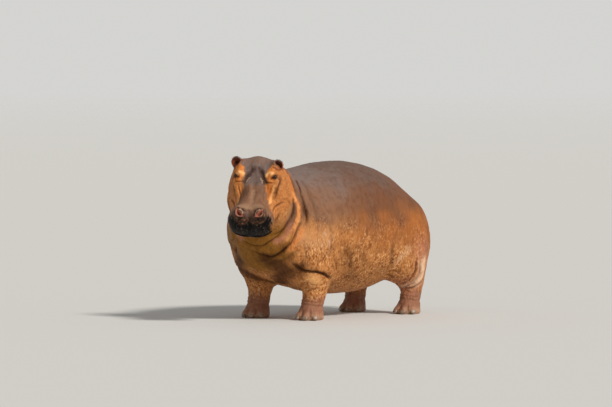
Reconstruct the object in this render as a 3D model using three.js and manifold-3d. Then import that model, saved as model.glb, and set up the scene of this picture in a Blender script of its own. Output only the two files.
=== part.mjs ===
// A life-size hippopotamus, standing square, with its head turned to its left and the muzzle low.
//
// Millimetres, +Z up. The spine lies along X with the head at -X, so the animal's left side is -Y.
// The flesh is one smooth field, made of oval sweeps and rounded masses that melt into each other.
// Each body part wraps a ring grid round its own axis, pushes the grid out to that field, and is
// trimmed where it meets its neighbours. Eyes, ears and toe nails are solids of their own.
import * as THREE from 'three';
import { mergeVertices } from 'three/addons/utils/BufferGeometryUtils.js';
import Module from 'manifold-3d';

const wasm = await Module();
wasm.setup();

// ---- Driving dimensions -------------------------------------------------------------------

const BACK_HEIGHT = 1400;
const TRUNK_LENGTH = 2065; // rump to chest
const TRUNK_WIDTH = 1120; // at the belly
const RUMP_X = 1000; // where the trunk's last oval stands
const EYE_GAP = 332; // between the centres of the eyes
const EYE_RADIUS = 20;
const HEAD_YAW = 33.5; // degrees to the animal's left
const HEAD_PITCH = 51; // degrees below level
const HEAD_ROLL = 3.5; // degrees, left side down
const HEAD_PLACE = [-1235, -322, 1292]; // the point midway between the eyes
const FORE_FEET = { left: [-500, -300], right: [-575, 300] };
const HIND_FEET = { left: [785, -285], right: [665, 285] };
const ANKLE_HEIGHT = 128;
const TOE_ANGLES = [-63, -22, 22, 63]; // round the front of each foot
const CUT = 0.3; // clearance left where two parts meet
const SPARE = 110; // flesh kept past a cut until the cut is made
const FAR = 6000; // larger than the animal

const rad = THREE.MathUtils.degToRad;
const vec = (x, y, z) => new THREE.Vector3(x, y, z);

// ---- The flesh field: positive inside, zero on the surface, in millimetres ------------------

// Joins two fields with a fillet about `soft` wide.
function melt(a, b, soft) {
  const near = Math.max(soft - Math.abs(a - b), 0) / soft;
  return Math.max(a, b) + (near * near * soft) / 4;
}

const meltAll = (soft, fields) => fields.reduce((sum, field) => melt(sum, field, soft));

// An egg-shaped mass.
function mass(centre, radii) {
  return (x, y, z) => {
    const dx = x - centre[0];
    const dy = y - centre[1];
    const dz = z - centre[2];
    const reach = Math.hypot(dx, dy, dz);
    const share = Math.hypot(dx / radii[0], dy / radii[1], dz / radii[2]);
    return share < 1e-6 ? Math.min(...radii) : reach / share - reach;
  };
}

// Oval sections swept through stations [x, y, z, half width, half height]. `side` is the direction
// in which the width is measured, `corner` squares the section (2 is an ellipse) and `cap` rounds
// the ends.
function sweep(stations, side, { corner = 2, cap = 60, steps = 6 } = {}) {
  const places = stations.map(([x, y, z]) => vec(x, y, z));
  const halves = stations.map(([, , , wide, high]) => vec(wide, high, 0));
  const line = new THREE.CatmullRomCurve3(places, false, 'centripetal');
  const sizes = new THREE.CatmullRomCurve3(halves, false, 'catmullrom', 0.5);
  const count = (stations.length - 1) * steps;
  const nodes = Array.from({ length: count + 1 }, (_, i) => {
    const size = sizes.getPoint(i / count);
    return { at: line.getPoint(i / count), half: [Math.max(size.x, 1), Math.max(size.y, 1)] };
  });
  const bones = nodes.slice(1).map((end, i) => {
    const start = nodes[i];
    const along = end.at.clone().sub(start.at);
    const length = along.length();
    along.normalize();
    const across = side.clone().addScaledVector(along, -side.dot(along)).normalize();
    return { start, end, along, length, across, up: along.clone().cross(across) };
  });
  const from = vec();
  return (x, y, z) => {
    let best = null;
    let nearest = Infinity;
    for (const bone of bones) {
      from.set(x - bone.start.at.x, y - bone.start.at.y, z - bone.start.at.z);
      const run = from.dot(bone.along);
      const t = Math.min(Math.max(run / bone.length, 0), 1);
      const beyond = run - t * bone.length;
      const squared = from.lengthSq() - run * run + beyond * beyond;
      if (squared < nearest) {
        nearest = squared;
        best = { bone, t, beyond, wide: from.dot(bone.across), high: from.dot(bone.up) };
      }
    }
    const { bone, t, beyond, wide, high } = best;
    const halfWide = bone.start.half[0] * (1 - t) + bone.end.half[0] * t;
    const halfHigh = bone.start.half[1] * (1 - t) + bone.end.half[1] * t;
    const ring = (Math.abs(wide / halfWide) ** corner + Math.abs(high / halfHigh) ** corner) ** (1 / corner);
    const share = Math.hypot(ring, beyond / cap);
    const reach = Math.hypot(wide, high, beyond);
    return share < 1e-6 ? Math.min(halfWide, halfHigh) : reach / share - reach;
  };
}

// Raises the surface near a line of points, or sinks it where `height` is negative.
function ridge(points, reach, height) {
  const line = new THREE.CatmullRomCurve3(points.map((p) => vec(...p)), false, 'centripetal');
  const beads = line.getPoints(Math.max(1, (points.length - 1) * 8));
  return (x, y, z) => {
    let nearest = Infinity;
    for (const bead of beads) {
      nearest = Math.min(nearest, (x - bead.x) ** 2 + (y - bead.y) ** 2 + (z - bead.z) ** 2);
    }
    return height * Math.exp(-nearest / (reach * reach));
  };
}

const SIDE = vec(0, 1, 0);

// Trunk: [share of the length from the rump, top and bottom as shares of the back height,
// half width as a share of the widest].
const TRUNK_PROFILE = [
  [0.0, 0.67, 0.52, 0.22],
  [0.04, 0.755, 0.42, 0.46],
  [0.11, 0.845, 0.3, 0.68],
  [0.22, 0.935, 0.21, 0.87],
  [0.34, 0.986, 0.155, 0.975],
  [0.46, 0.999, 0.145, 1.0],
  [0.58, 0.983, 0.155, 0.975],
  [0.7, 0.945, 0.195, 0.9],
  [0.81, 0.905, 0.245, 0.82],
  [0.91, 0.86, 0.33, 0.68],
  [1.0, 0.77, 0.46, 0.42],
];

const trunkStations = TRUNK_PROFILE.map(([along, top, bottom, width]) => [
  RUMP_X - along * TRUNK_LENGTH,
  0,
  (BACK_HEIGHT * (top + bottom)) / 2,
  (TRUNK_WIDTH / 2) * width,
  (BACK_HEIGHT * (top - bottom)) / 2,
]);

const NECK_STATIONS = [
  [-430, 0, 840, 390, 430],
  [-700, -82, 900, 323, 405],
  [-860, -172, 985, 273, 365],
  [-960, -190, 1105, 260, 320],
  [-1010, -200, 1210, 220, 260],
];

const trunk = sweep(trunkStations, SIDE, { corner: 2.1, cap: 55 });
const neck = sweep(NECK_STATIONS, SIDE, { cap: 90 });

// Both sides of the body alike: these masses are mirrored through the spine.
const haunch = mass([735, 262, 660], [270, 216, 380]);
const rumpMuscle = mass([780, 180, 820], [180, 190, 240]);
const shoulder = mass([-600, 285, 690], [250, 190, 390]);
const flankHollow = ridge([[455, 560, 640], [500, 550, 420]], 130, -24);
const elbowHollow = ridge([[-330, 550, 620], [-350, 510, 400]], 120, -22);
const farThroatHollow = ridge([[-1060, 220, 850], [-1065, 190, 735], [-975, 235, 615]], 135, -68);

const body = (x, y, z) => {
  const mirrored = Math.abs(y);
  const muscles = meltAll(110, [haunch, rumpMuscle, shoulder].map((muscle) => muscle(x, mirrored, z)));
  const hollows = flankHollow(x, mirrored, z) + elbowHollow(x, mirrored, z);
  const withNeck = melt(melt(trunk(x, y, z), muscles, 120) + hollows, neck(x, y, z), 150);
  return withNeck + farThroatHollow(x, y, z);
};

// Head, in its own frame: [towards the nose, towards its left, up from the eyes].
const headFrame = (() => {
  const level = vec(-Math.cos(rad(HEAD_YAW)), -Math.sin(rad(HEAD_YAW)), 0);
  const left = vec(0, 0, 1).cross(level);
  const nose = level.clone().applyAxisAngle(left, rad(HEAD_PITCH));
  left.applyAxisAngle(nose, rad(-HEAD_ROLL));
  return new THREE.Matrix4().makeBasis(nose, left, nose.clone().cross(left)).setPosition(...HEAD_PLACE);
})();
const intoHead = headFrame.clone().invert();
const headPoint = (p) => vec(...p).applyMatrix4(headFrame);

const SKULL_STATIONS = [
  // towards the nose, middle height, half width, half height
  [-230, -205, 160, 172],
  [-120, -212, 200, 200],
  [0, -205, 178, 190],
  [120, -190, 136, 172],
  [230, -168, 126, 152],
  [330, -150, 158, 144],
  [415, -146, 170, 136],
];
const JAW_STATIONS = [
  [-150, -330, 190, 125],
  [60, -322, 186, 100],
  [250, -272, 150, 76],
  [405, -238, 152, 66],
];
const inHead = ([along, up, wide, high]) => [along, 0, up, wide, high];

const skull = sweep(SKULL_STATIONS.map(inHead), SIDE, { corner: 2.5, cap: 62 });
const jaw = sweep(JAW_STATIONS.map(inHead), SIDE, { corner: 2.4, cap: 60 });
const eyeSide = EYE_GAP / 2;
const CHEEK_TUCK = 32; // the turned head draws its far cheek in by this much
const cheekMasses = [
  // reach of the fillet, then the masses of one side
  [105, mass([-40, 184, -145], [165, 66, 115])], // cheek bone
  [90, mass([-60, 186, -320], [215, 108, 150])], // jowl
];
const headMasses = [
  [80, mass([-20, eyeSide - 34, -48], [86, 38, 62])], // eye socket
  [40, mass([-150, 150, -40], [62, 56, 50])], // root of the ear
  [38, mass([386, 90, -24], [74, 50, 50])], // nostril
  [60, mass([390, 108, -128], [98, 96, 116])], // whisker pad
  [60, mass([248, 114, -196], [140, 60, 72])], // lip behind it
];
const headRidges = [
  ridge([[85, 128, -62], [160, 138, -92], [265, 152, -92]], 44, -9), // side of the snout
  ridge([[110, 0, 0], [240, 0, 0]], 80, -18), // dished bridge of the nose
  ridge([[-120, 70, -10], [0, 60, -5]], 60, -8), // forehead between the sockets
  ridge([[425, 0, -30], [470, 0, -95]], 30, -12), // cleft between the nostrils
  ridge([[-250, 0, -30], [-150, 0, -14]], 95, 20), // crown
];

const head = (x, y, z) => {
  const mirrored = Math.abs(y);
  let sum = melt(skull(x, y, z), jaw(x, y, z), 70);
  const tucked = mirrored + CHEEK_TUCK * Math.min(Math.max(-y / 150, 0), 1) ** 2;
  for (const [soft, part] of cheekMasses) sum = melt(sum, part(x, tucked, z), soft);
  for (const [soft, part] of headMasses) sum = melt(sum, part(x, mirrored, z), soft);
  for (const line of headRidges) sum += line(x, mirrored, z);
  return sum;
};

// Legs. `away` is the foot's outward side, -1 on the left and 1 on the right.
function foreleg([footX, footY]) {
  const away = Math.sign(footY);
  return sweep([
    [-560, away * 300, 700, 150, 190],
    [-500, away * 318, 500, 140, 170],
    [footX + 45, footY + away * 12, 330, 114, 126],
    [footX + 20, footY + away * 4, 200, 94, 100],
    [footX, footY, 110, 100, 106],
    [footX - 12, footY, -40, 112, 122],
  ], SIDE);
}

function hindleg([footX, footY]) {
  const away = Math.sign(footY);
  return sweep([
    [640, away * 270, 640, 160, 240],
    [footX - 80, away * 300, 460, 150, 190],
    [footX + 15, footY + away * 8, 320, 112, 132],
    [footX + 22, footY + away * 2, 200, 88, 98],
    [footX, footY, 110, 94, 102],
    [footX - 12, footY, -40, 108, 118],
  ], SIDE);
}

const TOE_RING = [100, 108]; // half width and half length of the ring the toes stand on
const TOE_SIZE = [46, 42, 56];
const NAIL_SIZE = [11, 24, 21]; // out of the toe, across it and up
const toesOf = ([footX, footY]) => TOE_ANGLES.map((angle) => {
  const out = vec(-Math.cos(rad(angle)), Math.sin(rad(angle)), 0);
  const place = vec(footX - 12 + out.x * TOE_RING[1] * 0.9, footY + out.y * TOE_RING[0] * 0.9, 26);
  return { out, place, flesh: mass(place.toArray(), TOE_SIZE) };
});

const LIMBS = {
  foreleg_left: { foot: FORE_FEET.left, leg: foreleg(FORE_FEET.left), fromX: -215, toX: 205 },
  foreleg_right: { foot: FORE_FEET.right, leg: foreleg(FORE_FEET.right), fromX: -205, toX: 215 },
  hindleg_left: { foot: HIND_FEET.left, leg: hindleg(HIND_FEET.left), fromX: -215, toX: 235 },
  hindleg_right: { foot: HIND_FEET.right, leg: hindleg(HIND_FEET.right), fromX: -210, toX: 240 },
};
const limbs = Object.values(LIMBS);
for (const limb of limbs) limb.toes = toesOf(limb.foot);

const limbField = ({ leg, toes }, x, y, z) => {
  let sum = leg(x, y, z);
  if (z < 160) for (const toe of toes) sum = melt(sum, toe.flesh(x, y, z), 22);
  return sum;
};

const local = vec();
function flesh(x, y, z) {
  local.set(x, y, z).applyMatrix4(intoHead);
  let sum = body(x, y, z);
  if (x < -500) sum = melt(sum, head(local.x, local.y, local.z), 120);
  if (z > 900) return sum;
  for (const limb of limbs) sum = melt(sum, limbField(limb, x, y, z), 80);
  return sum;
}

// ---- From field to solids ---------------------------------------------------------------------

// Walks out along a ray to where the flesh ends.
function edgeOfFlesh(field, origin, heading, limit) {
  const depthAt = (run) => {
    const p = origin.clone().addScaledVector(heading, run);
    return field(p.x, p.y, p.z);
  };
  let inside = 0;
  let outside = limit;
  while (inside < limit) {
    const deep = depthAt(inside);
    if (deep < 0) {
      outside = inside;
      inside = Math.max(inside - 14, 0);
      break;
    }
    inside += Math.min(Math.max(0.5 * deep, 2), 14);
  }
  if (outside === limit) return limit;
  for (let step = 0; step < 14; step += 1) {
    const middle = (inside + outside) / 2;
    if (depthAt(middle) > 0) inside = middle;
    else outside = middle;
  }
  return (inside + outside) / 2;
}

// A sphere grid stretched along an axis and pushed out to the flesh. `turned` is the share of the
// grid, at each end, that fans round the end of the axis; the rest looks straight out from it.
// `crowd` draws the rings together towards both ends.
function wrap(axisPoints, { around, along, turned = 0.28, crowd = 0, side = SIDE, limit, field }) {
  const axis = new THREE.CatmullRomCurve3(axisPoints.map((p) => vec(...p)), false, 'centripetal');
  const grid = closed(new THREE.SphereGeometry(1, around, along));
  const position = grid.getAttribute('position');
  const unit = vec();
  for (let i = 0; i < position.count; i += 1) {
    unit.fromBufferAttribute(position, i);
    const share = Math.acos(THREE.MathUtils.clamp(unit.y, -1, 1)) / Math.PI; // 0 at the axis's start
    const even = THREE.MathUtils.clamp((share - turned) / (1 - 2 * turned), 0, 1);
    const run = THREE.MathUtils.clamp(even - (crowd * Math.sin(2 * Math.PI * even)) / (2 * Math.PI), 0, 1);
    const lean = share < turned ? share / turned : share > 1 - turned ? (1 - share) / turned : 1;
    const origin = axis.getPointAt(run);
    const tangent = axis.getTangentAt(run);
    const across = side.clone().addScaledVector(tangent, -side.dot(tangent)).normalize();
    const up = tangent.clone().cross(across);
    const turn = Math.atan2(unit.z, unit.x);
    const heading = across.multiplyScalar(Math.cos(turn)).addScaledVector(up, Math.sin(turn));
    heading.multiplyScalar(Math.sin((lean * Math.PI) / 2));
    heading.addScaledVector(tangent, Math.cos((lean * Math.PI) / 2) * (share < 0.5 ? -1 : 1)).normalize();
    origin.addScaledVector(heading, edgeOfFlesh(field, origin, heading, limit));
    position.setXYZ(i, origin.x, origin.y, origin.z);
  }
  foldAlongShorter(grid, around);
  return solid(grid);
}

// Each four-sided face between the first and the last ring is two triangles, a-b-d and b-c-d.
// Where a-c is the shorter diagonal they become a-b-c and a-c-d, which keeps steep slopes smooth.
function foldAlongShorter(grid, around) {
  const corners = grid.index.array;
  const at = (i) => vec().fromBufferAttribute(grid.getAttribute('position'), i);
  for (let i = 3 * around; i < corners.length - 3 * around; i += 6) {
    const [a, b, d, , c] = corners.subarray(i, i + 6);
    if (at(a).distanceTo(at(c)) < at(b).distanceTo(at(d))) corners.set([a, b, c, a, c, d], i);
  }
}

// Drops the seams, so that neighbouring faces share their corners.
function closed(geometry) {
  geometry.deleteAttribute('normal');
  geometry.deleteAttribute('uv');
  return mergeVertices(geometry, 1e-3);
}

function solid(geometry) {
  const faces = (triangles) => new wasm.Manifold(new wasm.Mesh({
    numProp: 3,
    vertProperties: new Float32Array(geometry.getAttribute('position').array),
    triVerts: new Uint32Array(triangles),
  }));
  const made = faces(geometry.index.array);
  return made.volume() > 0 ? made : faces(geometry.index.array.slice().reverse());
}

// A block from low to high, in a frame of its own if one is given, grown by `grow` on every side.
function block(low, high, frame = new THREE.Matrix4(), grow = 0) {
  const geometry = closed(new THREE.BoxGeometry(...high.map((h, i) => h - low[i] + 2 * grow)));
  geometry.translate(...high.map((h, i) => (h + low[i]) / 2));
  geometry.applyMatrix4(frame);
  return solid(geometry);
}

// How deep a point lies inside such a block.
function depthInBlock(low, high, frame) {
  const into = frame.clone().invert();
  const p = vec();
  return (x, y, z) => {
    p.set(x, y, z).applyMatrix4(into);
    return Math.min(p.x - low[0], p.y - low[1], p.z - low[2], high[0] - p.x, high[1] - p.y, high[2] - p.z);
  };
}

// A flat cut. `out` points to the side that `past` holds.
function plane(at, out) {
  const frame = new THREE.Matrix4().lookAt(out, vec(0, 0, 0), Math.abs(out.z) > 0.9 ? SIDE : vec(0, 0, 1));
  frame.setPosition(...at);
  const offset = out.dot(vec(...at));
  return {
    past: block([-FAR, -FAR, CUT / 2], [FAR, FAR, FAR], frame),
    before: block([-FAR, -FAR, -FAR], [FAR, FAR, -CUT / 2], frame),
    height: (x, y, z) => out.x * x + out.y * y + out.z * z - offset,
  };
}

const shoulderCut = plane([-300, 0, 0], vec(-1, 0, 0));
const neckCut = plane([-770, -30, 950], vec(-0.93, -0.1, 0.36).normalize());
const rumpCut = plane([430, 0, 0], vec(1, 0, 0));
const ankleCut = plane([0, 0, ANKLE_HEIGHT], vec(0, 0, 1));
const groundCut = plane([0, 0, -CUT / 2], vec(0, 0, 1));

// The head ends on two planes: one from behind the ears to the throat, one under the jowls.
const headDirection = (p) => vec(...p).normalize().transformDirection(headFrame);
const napeCut = plane(headPoint([-245, 0, -60]).toArray(), headDirection([0.82, 0, 0.57]));
const throatCut = plane(headPoint([0, 0, -400]).toArray(), headDirection([0, 0, 1]));
const depthInHead = (x, y, z) => Math.min(napeCut.height(x, y, z), throatCut.height(x, y, z));

// The space that holds a leg: its upper face slopes up and out from the belly.
for (const limb of limbs) {
  const [footX, footY] = limb.foot;
  const away = Math.sign(footY);
  const frame = new THREE.Matrix4().makeRotationX(rad(32) * away);
  frame.setPosition(footX, away * 100, 285);
  const low = [limb.fromX, away > 0 ? 0 : -900, -900];
  const high = [limb.toX, away > 0 ? 900 : 0, 0];
  limb.space = block(low, high, frame);
  limb.hole = block(low, high, frame, CUT);
  limb.depth = depthInBlock(low, high, frame);
}

// ---- Materials ----------------------------------------------------------------------------------

const skinMaterial = (color, roughness) => new THREE.MeshStandardMaterial({ color, roughness, metalness: 0 });
const back = () => skinMaterial(0x886855, 0.6); // grey-brown hide
const throat = () => skinMaterial(0xbe7d4e, 0.58); // orange skin of the neck and the jowls
const face = () => skinMaterial(0x9e7057, 0.55);
const limbSkin = () => skinMaterial(0x9f7048, 0.62);
const earSkin = () => skinMaterial(0x6e3424, 0.6);
const horn = () => skinMaterial(0x4d4038, 0.45);
const wetEye = () => skinMaterial(0x1c100a, 0.1);

const group = new THREE.Group();

function add(name, made, material) {
  const mesh = made.getMesh();
  const geometry = new THREE.BufferGeometry();
  geometry.setAttribute('position', new THREE.BufferAttribute(mesh.vertProperties, 3));
  geometry.setIndex(new THREE.BufferAttribute(mesh.triVerts, 1));
  geometry.computeVertexNormals();
  const part = new THREE.Mesh(geometry, material);
  part.name = name;
  group.add(part);
}

// ---- Trunk and tail ---------------------------------------------------------------------------------

const outsideLegs = (x, y, z) => Math.min(...limbs.map((limb) => SPARE - limb.depth(x, y, z)));

const SPINE_LINE = [[790, 0, 730], [300, 0, 750], [-200, 0, 800], [-600, -50, 920], [-900, -120, 1100]];
const outsideHead = (x, y, z) => SPARE - depthInHead(x, y, z);
const wrappedTorso = wrap(SPINE_LINE, {
  around: 28,
  along: 38,
  turned: 0.21,
  crowd: 0.4,
  limit: 820,
  field: (x, y, z) => Math.min(flesh(x, y, z), outsideLegs(x, y, z), outsideHead(x, y, z)),
});
const wholeTorso = limbs.reduce((rest, limb) => rest.subtract(limb.hole), wrappedTorso);
const torso = wholeTorso.intersect(napeCut.before).add(wholeTorso.intersect(throatCut.before));

const TAIL_STATIONS = [
  [940, 0, 1000, 62, 70],
  [1030, 0, 960, 56, 56],
  [1086, 0, 870, 42, 38],
  [1106, 0, 770, 31, 24],
  [1104, 0, 660, 25, 15],
  [1094, 0, 590, 16, 9],
];
const tail = sweep(TAIL_STATIONS, SIDE, { cap: 14 });
const TAIL_LINE = TAIL_STATIONS.map(([x, y, z]) => [x, y, z + 8]);
const tailSolid = (grow) => wrap(TAIL_LINE, {
  around: 8,
  along: 11,
  turned: 0.16,
  limit: 120,
  field: (x, y, z) => tail(x, y, z) + grow,
});

add('neck', torso.intersect(neckCut.past), throat());
add('shoulders', torso.intersect(neckCut.before).intersect(shoulderCut.past), back());
add('barrel', torso.intersect(shoulderCut.before).intersect(rumpCut.before), back());
add('rump', torso.intersect(rumpCut.past).subtract(tailSolid(CUT)), back());
add('tail', tailSolid(0), back());

// ---- Head -----------------------------------------------------------------------------------------

const headLeft = headDirection([0, 1, 0]);
const HEAD_LINE = [[-110, 0, -190], [0, 0, -180], [200, 0, -160], [400, 0, -140]];
let skullSolid = wrap(HEAD_LINE.map((p) => headPoint(p).toArray()), {
  around: 34,
  along: 33,
  turned: 0.2,
  side: headLeft,
  limit: 600,
  field: (x, y, z) => Math.min(flesh(x, y, z), SPARE + depthInHead(x, y, z)),
}).intersect(napeCut.past).intersect(throatCut.past);

// Eyes, level with the skin round them, and the mouth line that parts the lower jaw.
const eyeball = (away, grow) => {
  const ball = new THREE.SphereGeometry(EYE_RADIUS + grow, 10, 7);
  ball.rotateX(rad(90 - away * 40));
  ball.translate(-8, away * eyeSide, -14);
  return solid(closed(ball.applyMatrix4(headFrame)));
};
const jawSpace = (grow) => block([-30, -600, -900], [900, 600, -205], headFrame, grow);

// An ear is a cup on a short stalk. `tip` is where it points and `mouth` where it opens.
const EARS = {
  left: { root: [-124, 152, -76], tip: [-0.6, 0.42, 0.68], mouth: [0.62, 0.3, 0.72] },
  right: { root: [-129, -164, -60], tip: [-0.62, -0.36, 0.69], mouth: [0.61, -0.14, 0.77] },
};
const EAR_SIZE = [33, 53, 60]; // half depth, half width, half height
const BOWL_SIZE = [33, 42, 48];
function ear({ root, tip, mouth }, grow, hollow) {
  const up = vec(...tip).normalize();
  const front = vec(...mouth).addScaledVector(up, -up.dot(vec(...mouth))).normalize();
  const frame = new THREE.Matrix4().makeBasis(front, up.clone().cross(front), up).setPosition(...root);
  frame.premultiply(headFrame);
  const into = frame.clone().invert();
  const cup = mass([0, 0, 52], EAR_SIZE);
  const stalk = mass([-4, 0, 0], [28, 32, 40]);
  const p = vec();
  const field = (x, y, z) => {
    p.set(x, y, z).applyMatrix4(into);
    return melt(cup(p.x, p.y, p.z), stalk(p.x, p.y, p.z), 20) + grow;
  };
  const axis = [[-2, 0, -6], [0, 0, 25], [0, 0, 66]].map((q) => vec(...q).applyMatrix4(frame).toArray());
  const hull = wrap(axis, { around: 12, along: 8, side: headLeft, limit: 160, field });
  if (!hollow) return hull;
  const bowl = new THREE.SphereGeometry(1, 10, 7);
  bowl.scale(...BOWL_SIZE);
  bowl.translate(19, 0, 58);
  return hull.subtract(solid(closed(bowl.applyMatrix4(frame))));
}

for (const [side, away] of [['left', 1], ['right', -1]]) {
  skullSolid = skullSolid.subtract(eyeball(away, CUT)).subtract(ear(EARS[side], CUT, false));
}
add('head', skullSolid.subtract(jawSpace(CUT)), face());
add('lower_jaw', skullSolid.intersect(jawSpace(0)), throat());

for (const [side, away] of [['left', 1], ['right', -1]]) {
  add(`eye_${side}`, eyeball(away, 0), wetEye());
  add(`ear_${side}`, ear(EARS[side], 0, true), earSkin());
}

// ---- Legs, feet and nails -----------------------------------------------------------------------------

function nail(toe, grow) {
  const ball = new THREE.SphereGeometry(1, 6, 4);
  ball.scale(...NAIL_SIZE.map((size) => size + grow));
  ball.rotateY(rad(-14));
  ball.rotateZ(Math.atan2(toe.out.y, toe.out.x));
  ball.translate(...toe.place.clone().addScaledVector(toe.out, 38).setZ(27).toArray());
  return solid(closed(ball));
}

for (const [name, limb] of Object.entries(LIMBS)) {
  const [footX, footY] = limb.foot;
  const leg = wrap([[footX + 10, footY * 1.05, 470], [footX + 15, footY, 300], [footX + 10, footY, 150]], {
    around: 14,
    along: 9,
    turned: 0.25,
    limit: 520,
    field: (x, y, z) => Math.min(flesh(x, y, z), limb.depth(x, y, z) + SPARE, z - ANKLE_HEIGHT + 40),
  });
  add(name, leg.intersect(limb.space).intersect(ankleCut.past), limbSkin());
  let foot = wrap([[footX, footY, 110], [footX - 12, footY, 20]], {
    around: 16,
    along: 6,
    turned: 0.3,
    limit: 220,
    field: (x, y, z) => Math.min(flesh(x, y, z), ANKLE_HEIGHT + 40 - z, z + 40),
  }).intersect(ankleCut.before).intersect(groundCut.past);
  limb.toes.forEach((toe, i) => {
    foot = foot.subtract(nail(toe, CUT));
    add(`${name.replace('leg', 'nail')}_${i + 1}`, nail(toe, 0), horn());
  });
  add(name.replace('leg', 'foot'), foot, limbSkin());
}

// The floor lies at Z = 0 and the origin under the middle of the whole animal.
const box = new THREE.Box3().setFromObject(group);
group.position.set(-(box.min.x + box.max.x) / 2, -(box.min.y + box.max.y) / 2, -box.min.z);

export default group;
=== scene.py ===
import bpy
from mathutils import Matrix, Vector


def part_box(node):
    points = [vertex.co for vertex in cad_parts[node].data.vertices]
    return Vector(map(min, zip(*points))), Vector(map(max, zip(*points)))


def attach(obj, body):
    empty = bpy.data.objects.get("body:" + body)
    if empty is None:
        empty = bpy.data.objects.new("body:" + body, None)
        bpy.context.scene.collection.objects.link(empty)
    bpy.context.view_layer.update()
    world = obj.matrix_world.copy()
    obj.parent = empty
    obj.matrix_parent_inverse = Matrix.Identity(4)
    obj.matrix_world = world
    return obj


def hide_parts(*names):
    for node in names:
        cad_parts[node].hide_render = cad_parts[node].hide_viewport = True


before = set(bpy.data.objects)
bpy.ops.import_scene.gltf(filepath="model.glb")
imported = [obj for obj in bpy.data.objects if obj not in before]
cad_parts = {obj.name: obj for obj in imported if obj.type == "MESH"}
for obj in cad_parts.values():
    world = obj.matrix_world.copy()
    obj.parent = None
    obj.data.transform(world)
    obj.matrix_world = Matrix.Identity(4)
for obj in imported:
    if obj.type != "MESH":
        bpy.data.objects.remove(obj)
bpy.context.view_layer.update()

import math
import random

import bmesh
import bpy
import numpy as np
from mathutils import Matrix, Vector, noise
from mathutils.bvhtree import BVHTree

# A life-size hippopotamus: one bare skin over the frame's flesh, with eyeballs, nails and bristles.
# Metres, +Z up. The head is at -X and the animal's left side at -Y.
scene = bpy.context.scene

# Camera.

cameraSetup = {
    "azimuth": -46,  # degrees round the animal, from its own left side
    "elevation": 3.5,
    "distance": 40,  # a long lens from far away
    "lens": 261.4,
    "farClip": 400,
    "standpoint": (0.203, 0.0145, 0),  # on the floor between the feet
    "aimAcross": -0.187,  # where the lens points, beside and above the standpoint
    "aimUp": 1.013,
}


def makeCamera():
    azimuth = math.radians(cameraSetup["azimuth"])
    elevation = math.radians(cameraSetup["elevation"])
    back = Vector((math.sin(azimuth) * math.cos(elevation),
                   -math.cos(azimuth) * math.cos(elevation),
                   math.sin(elevation)))
    right = Vector((math.cos(azimuth), math.sin(azimuth), 0))
    up = back.cross(right)
    lens = bpy.data.cameras.new("camera")
    lens.lens = cameraSetup["lens"]
    lens.clip_end = cameraSetup["farClip"]
    camera = bpy.data.objects.new("camera", lens)
    scene.collection.objects.link(camera)
    standpoint = Vector(cameraSetup["standpoint"])
    aim = standpoint + right * cameraSetup["aimAcross"] + up * cameraSetup["aimUp"]
    camera.location = standpoint + back * cameraSetup["distance"]
    camera.rotation_euler = (camera.location - aim).to_track_quat("Z", "Y").to_euler()
    scene.camera = camera
    print("camera ready")


makeCamera()

# Places on the animal.

headPose = {
    "yaw": 33.5,  # degrees to the animal's left
    "pitch": 51,  # degrees below level
    "roll": 3.5,  # degrees, left side down
    "eyeBack": 0.008,  # the eyeballs lie this far behind and below the head's zero point
    "eyeDrop": 0.014,
}


def centreOf(node):
    low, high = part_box(node)
    return (low + high) / 2


def headAxes():
    yaw, pitch = math.radians(headPose["yaw"]), math.radians(headPose["pitch"])
    level = Vector((-math.cos(yaw), -math.sin(yaw), 0))
    left = Vector((0, 0, 1)).cross(level)
    nose = level * math.cos(pitch) - Vector((0, 0, 1)) * math.sin(pitch)
    left.rotate(Matrix.Rotation(-math.radians(headPose["roll"]), 3, nose))
    return nose, left, nose.cross(left)


nose, headLeft, headUp = headAxes()
headZero = (centreOf("eye_left") + centreOf("eye_right")) / 2
headZero = headZero + nose * headPose["eyeBack"] + headUp * headPose["eyeDrop"]
headTurn = np.array([nose, headLeft, headUp])
spineY = (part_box("barrel")[0].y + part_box("barrel")[1].y) / 2


# A place on the head in millimetres: towards the nose, towards its left, up.
def headPoint(place):
    return np.array(headZero) + np.array(place, float) / 1000 @ headTurn


def headPlaces(points):
    return (points - np.array(headZero)) @ headTurn.T * 1000


# The same line of places on the head's left side (1) or its right side (-1).
def headLine(places, side=1):
    return [headPoint((along, side * across, up)) for along, across, up in places]


# Body lines are in metres from the floor and the spine, on the left side (-1) or the right one (1).
def bodyLine(places, side=-1):
    return [np.array((x, spineY + side * out, z)) for x, out, z in places]


def footCentre(name):
    low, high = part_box(name)
    return (low + high) / 2


feet = {name: footCentre(name) for name in
        ("forefoot_left", "forefoot_right", "hindfoot_left", "hindfoot_right")}

# Maths on arrays of points.


# From 0 below low to 1 above high, with soft ends.
def rise(values, low, high):
    share = np.clip((values - low) / (high - low), 0, 1)
    return share * share * (3 - 2 * share)


# 1 inside an egg-shaped place, falling to 0 between two shares of its radii.
def within(points, centre, radii, low, high):
    return 1 - rise(np.linalg.norm((points - np.array(centre)) / radii, axis=1), low, high)


# The largest of several masks at each point.
def most(*masks):
    return np.maximum.reduce(masks)


# 1 along a path, falling to 0 at its ends.
def endFade(at, path, start, fade):
    share = at / (len(path) - 1)
    return rise(share, start, fade) * rise(1 - share, start, fade)


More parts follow.
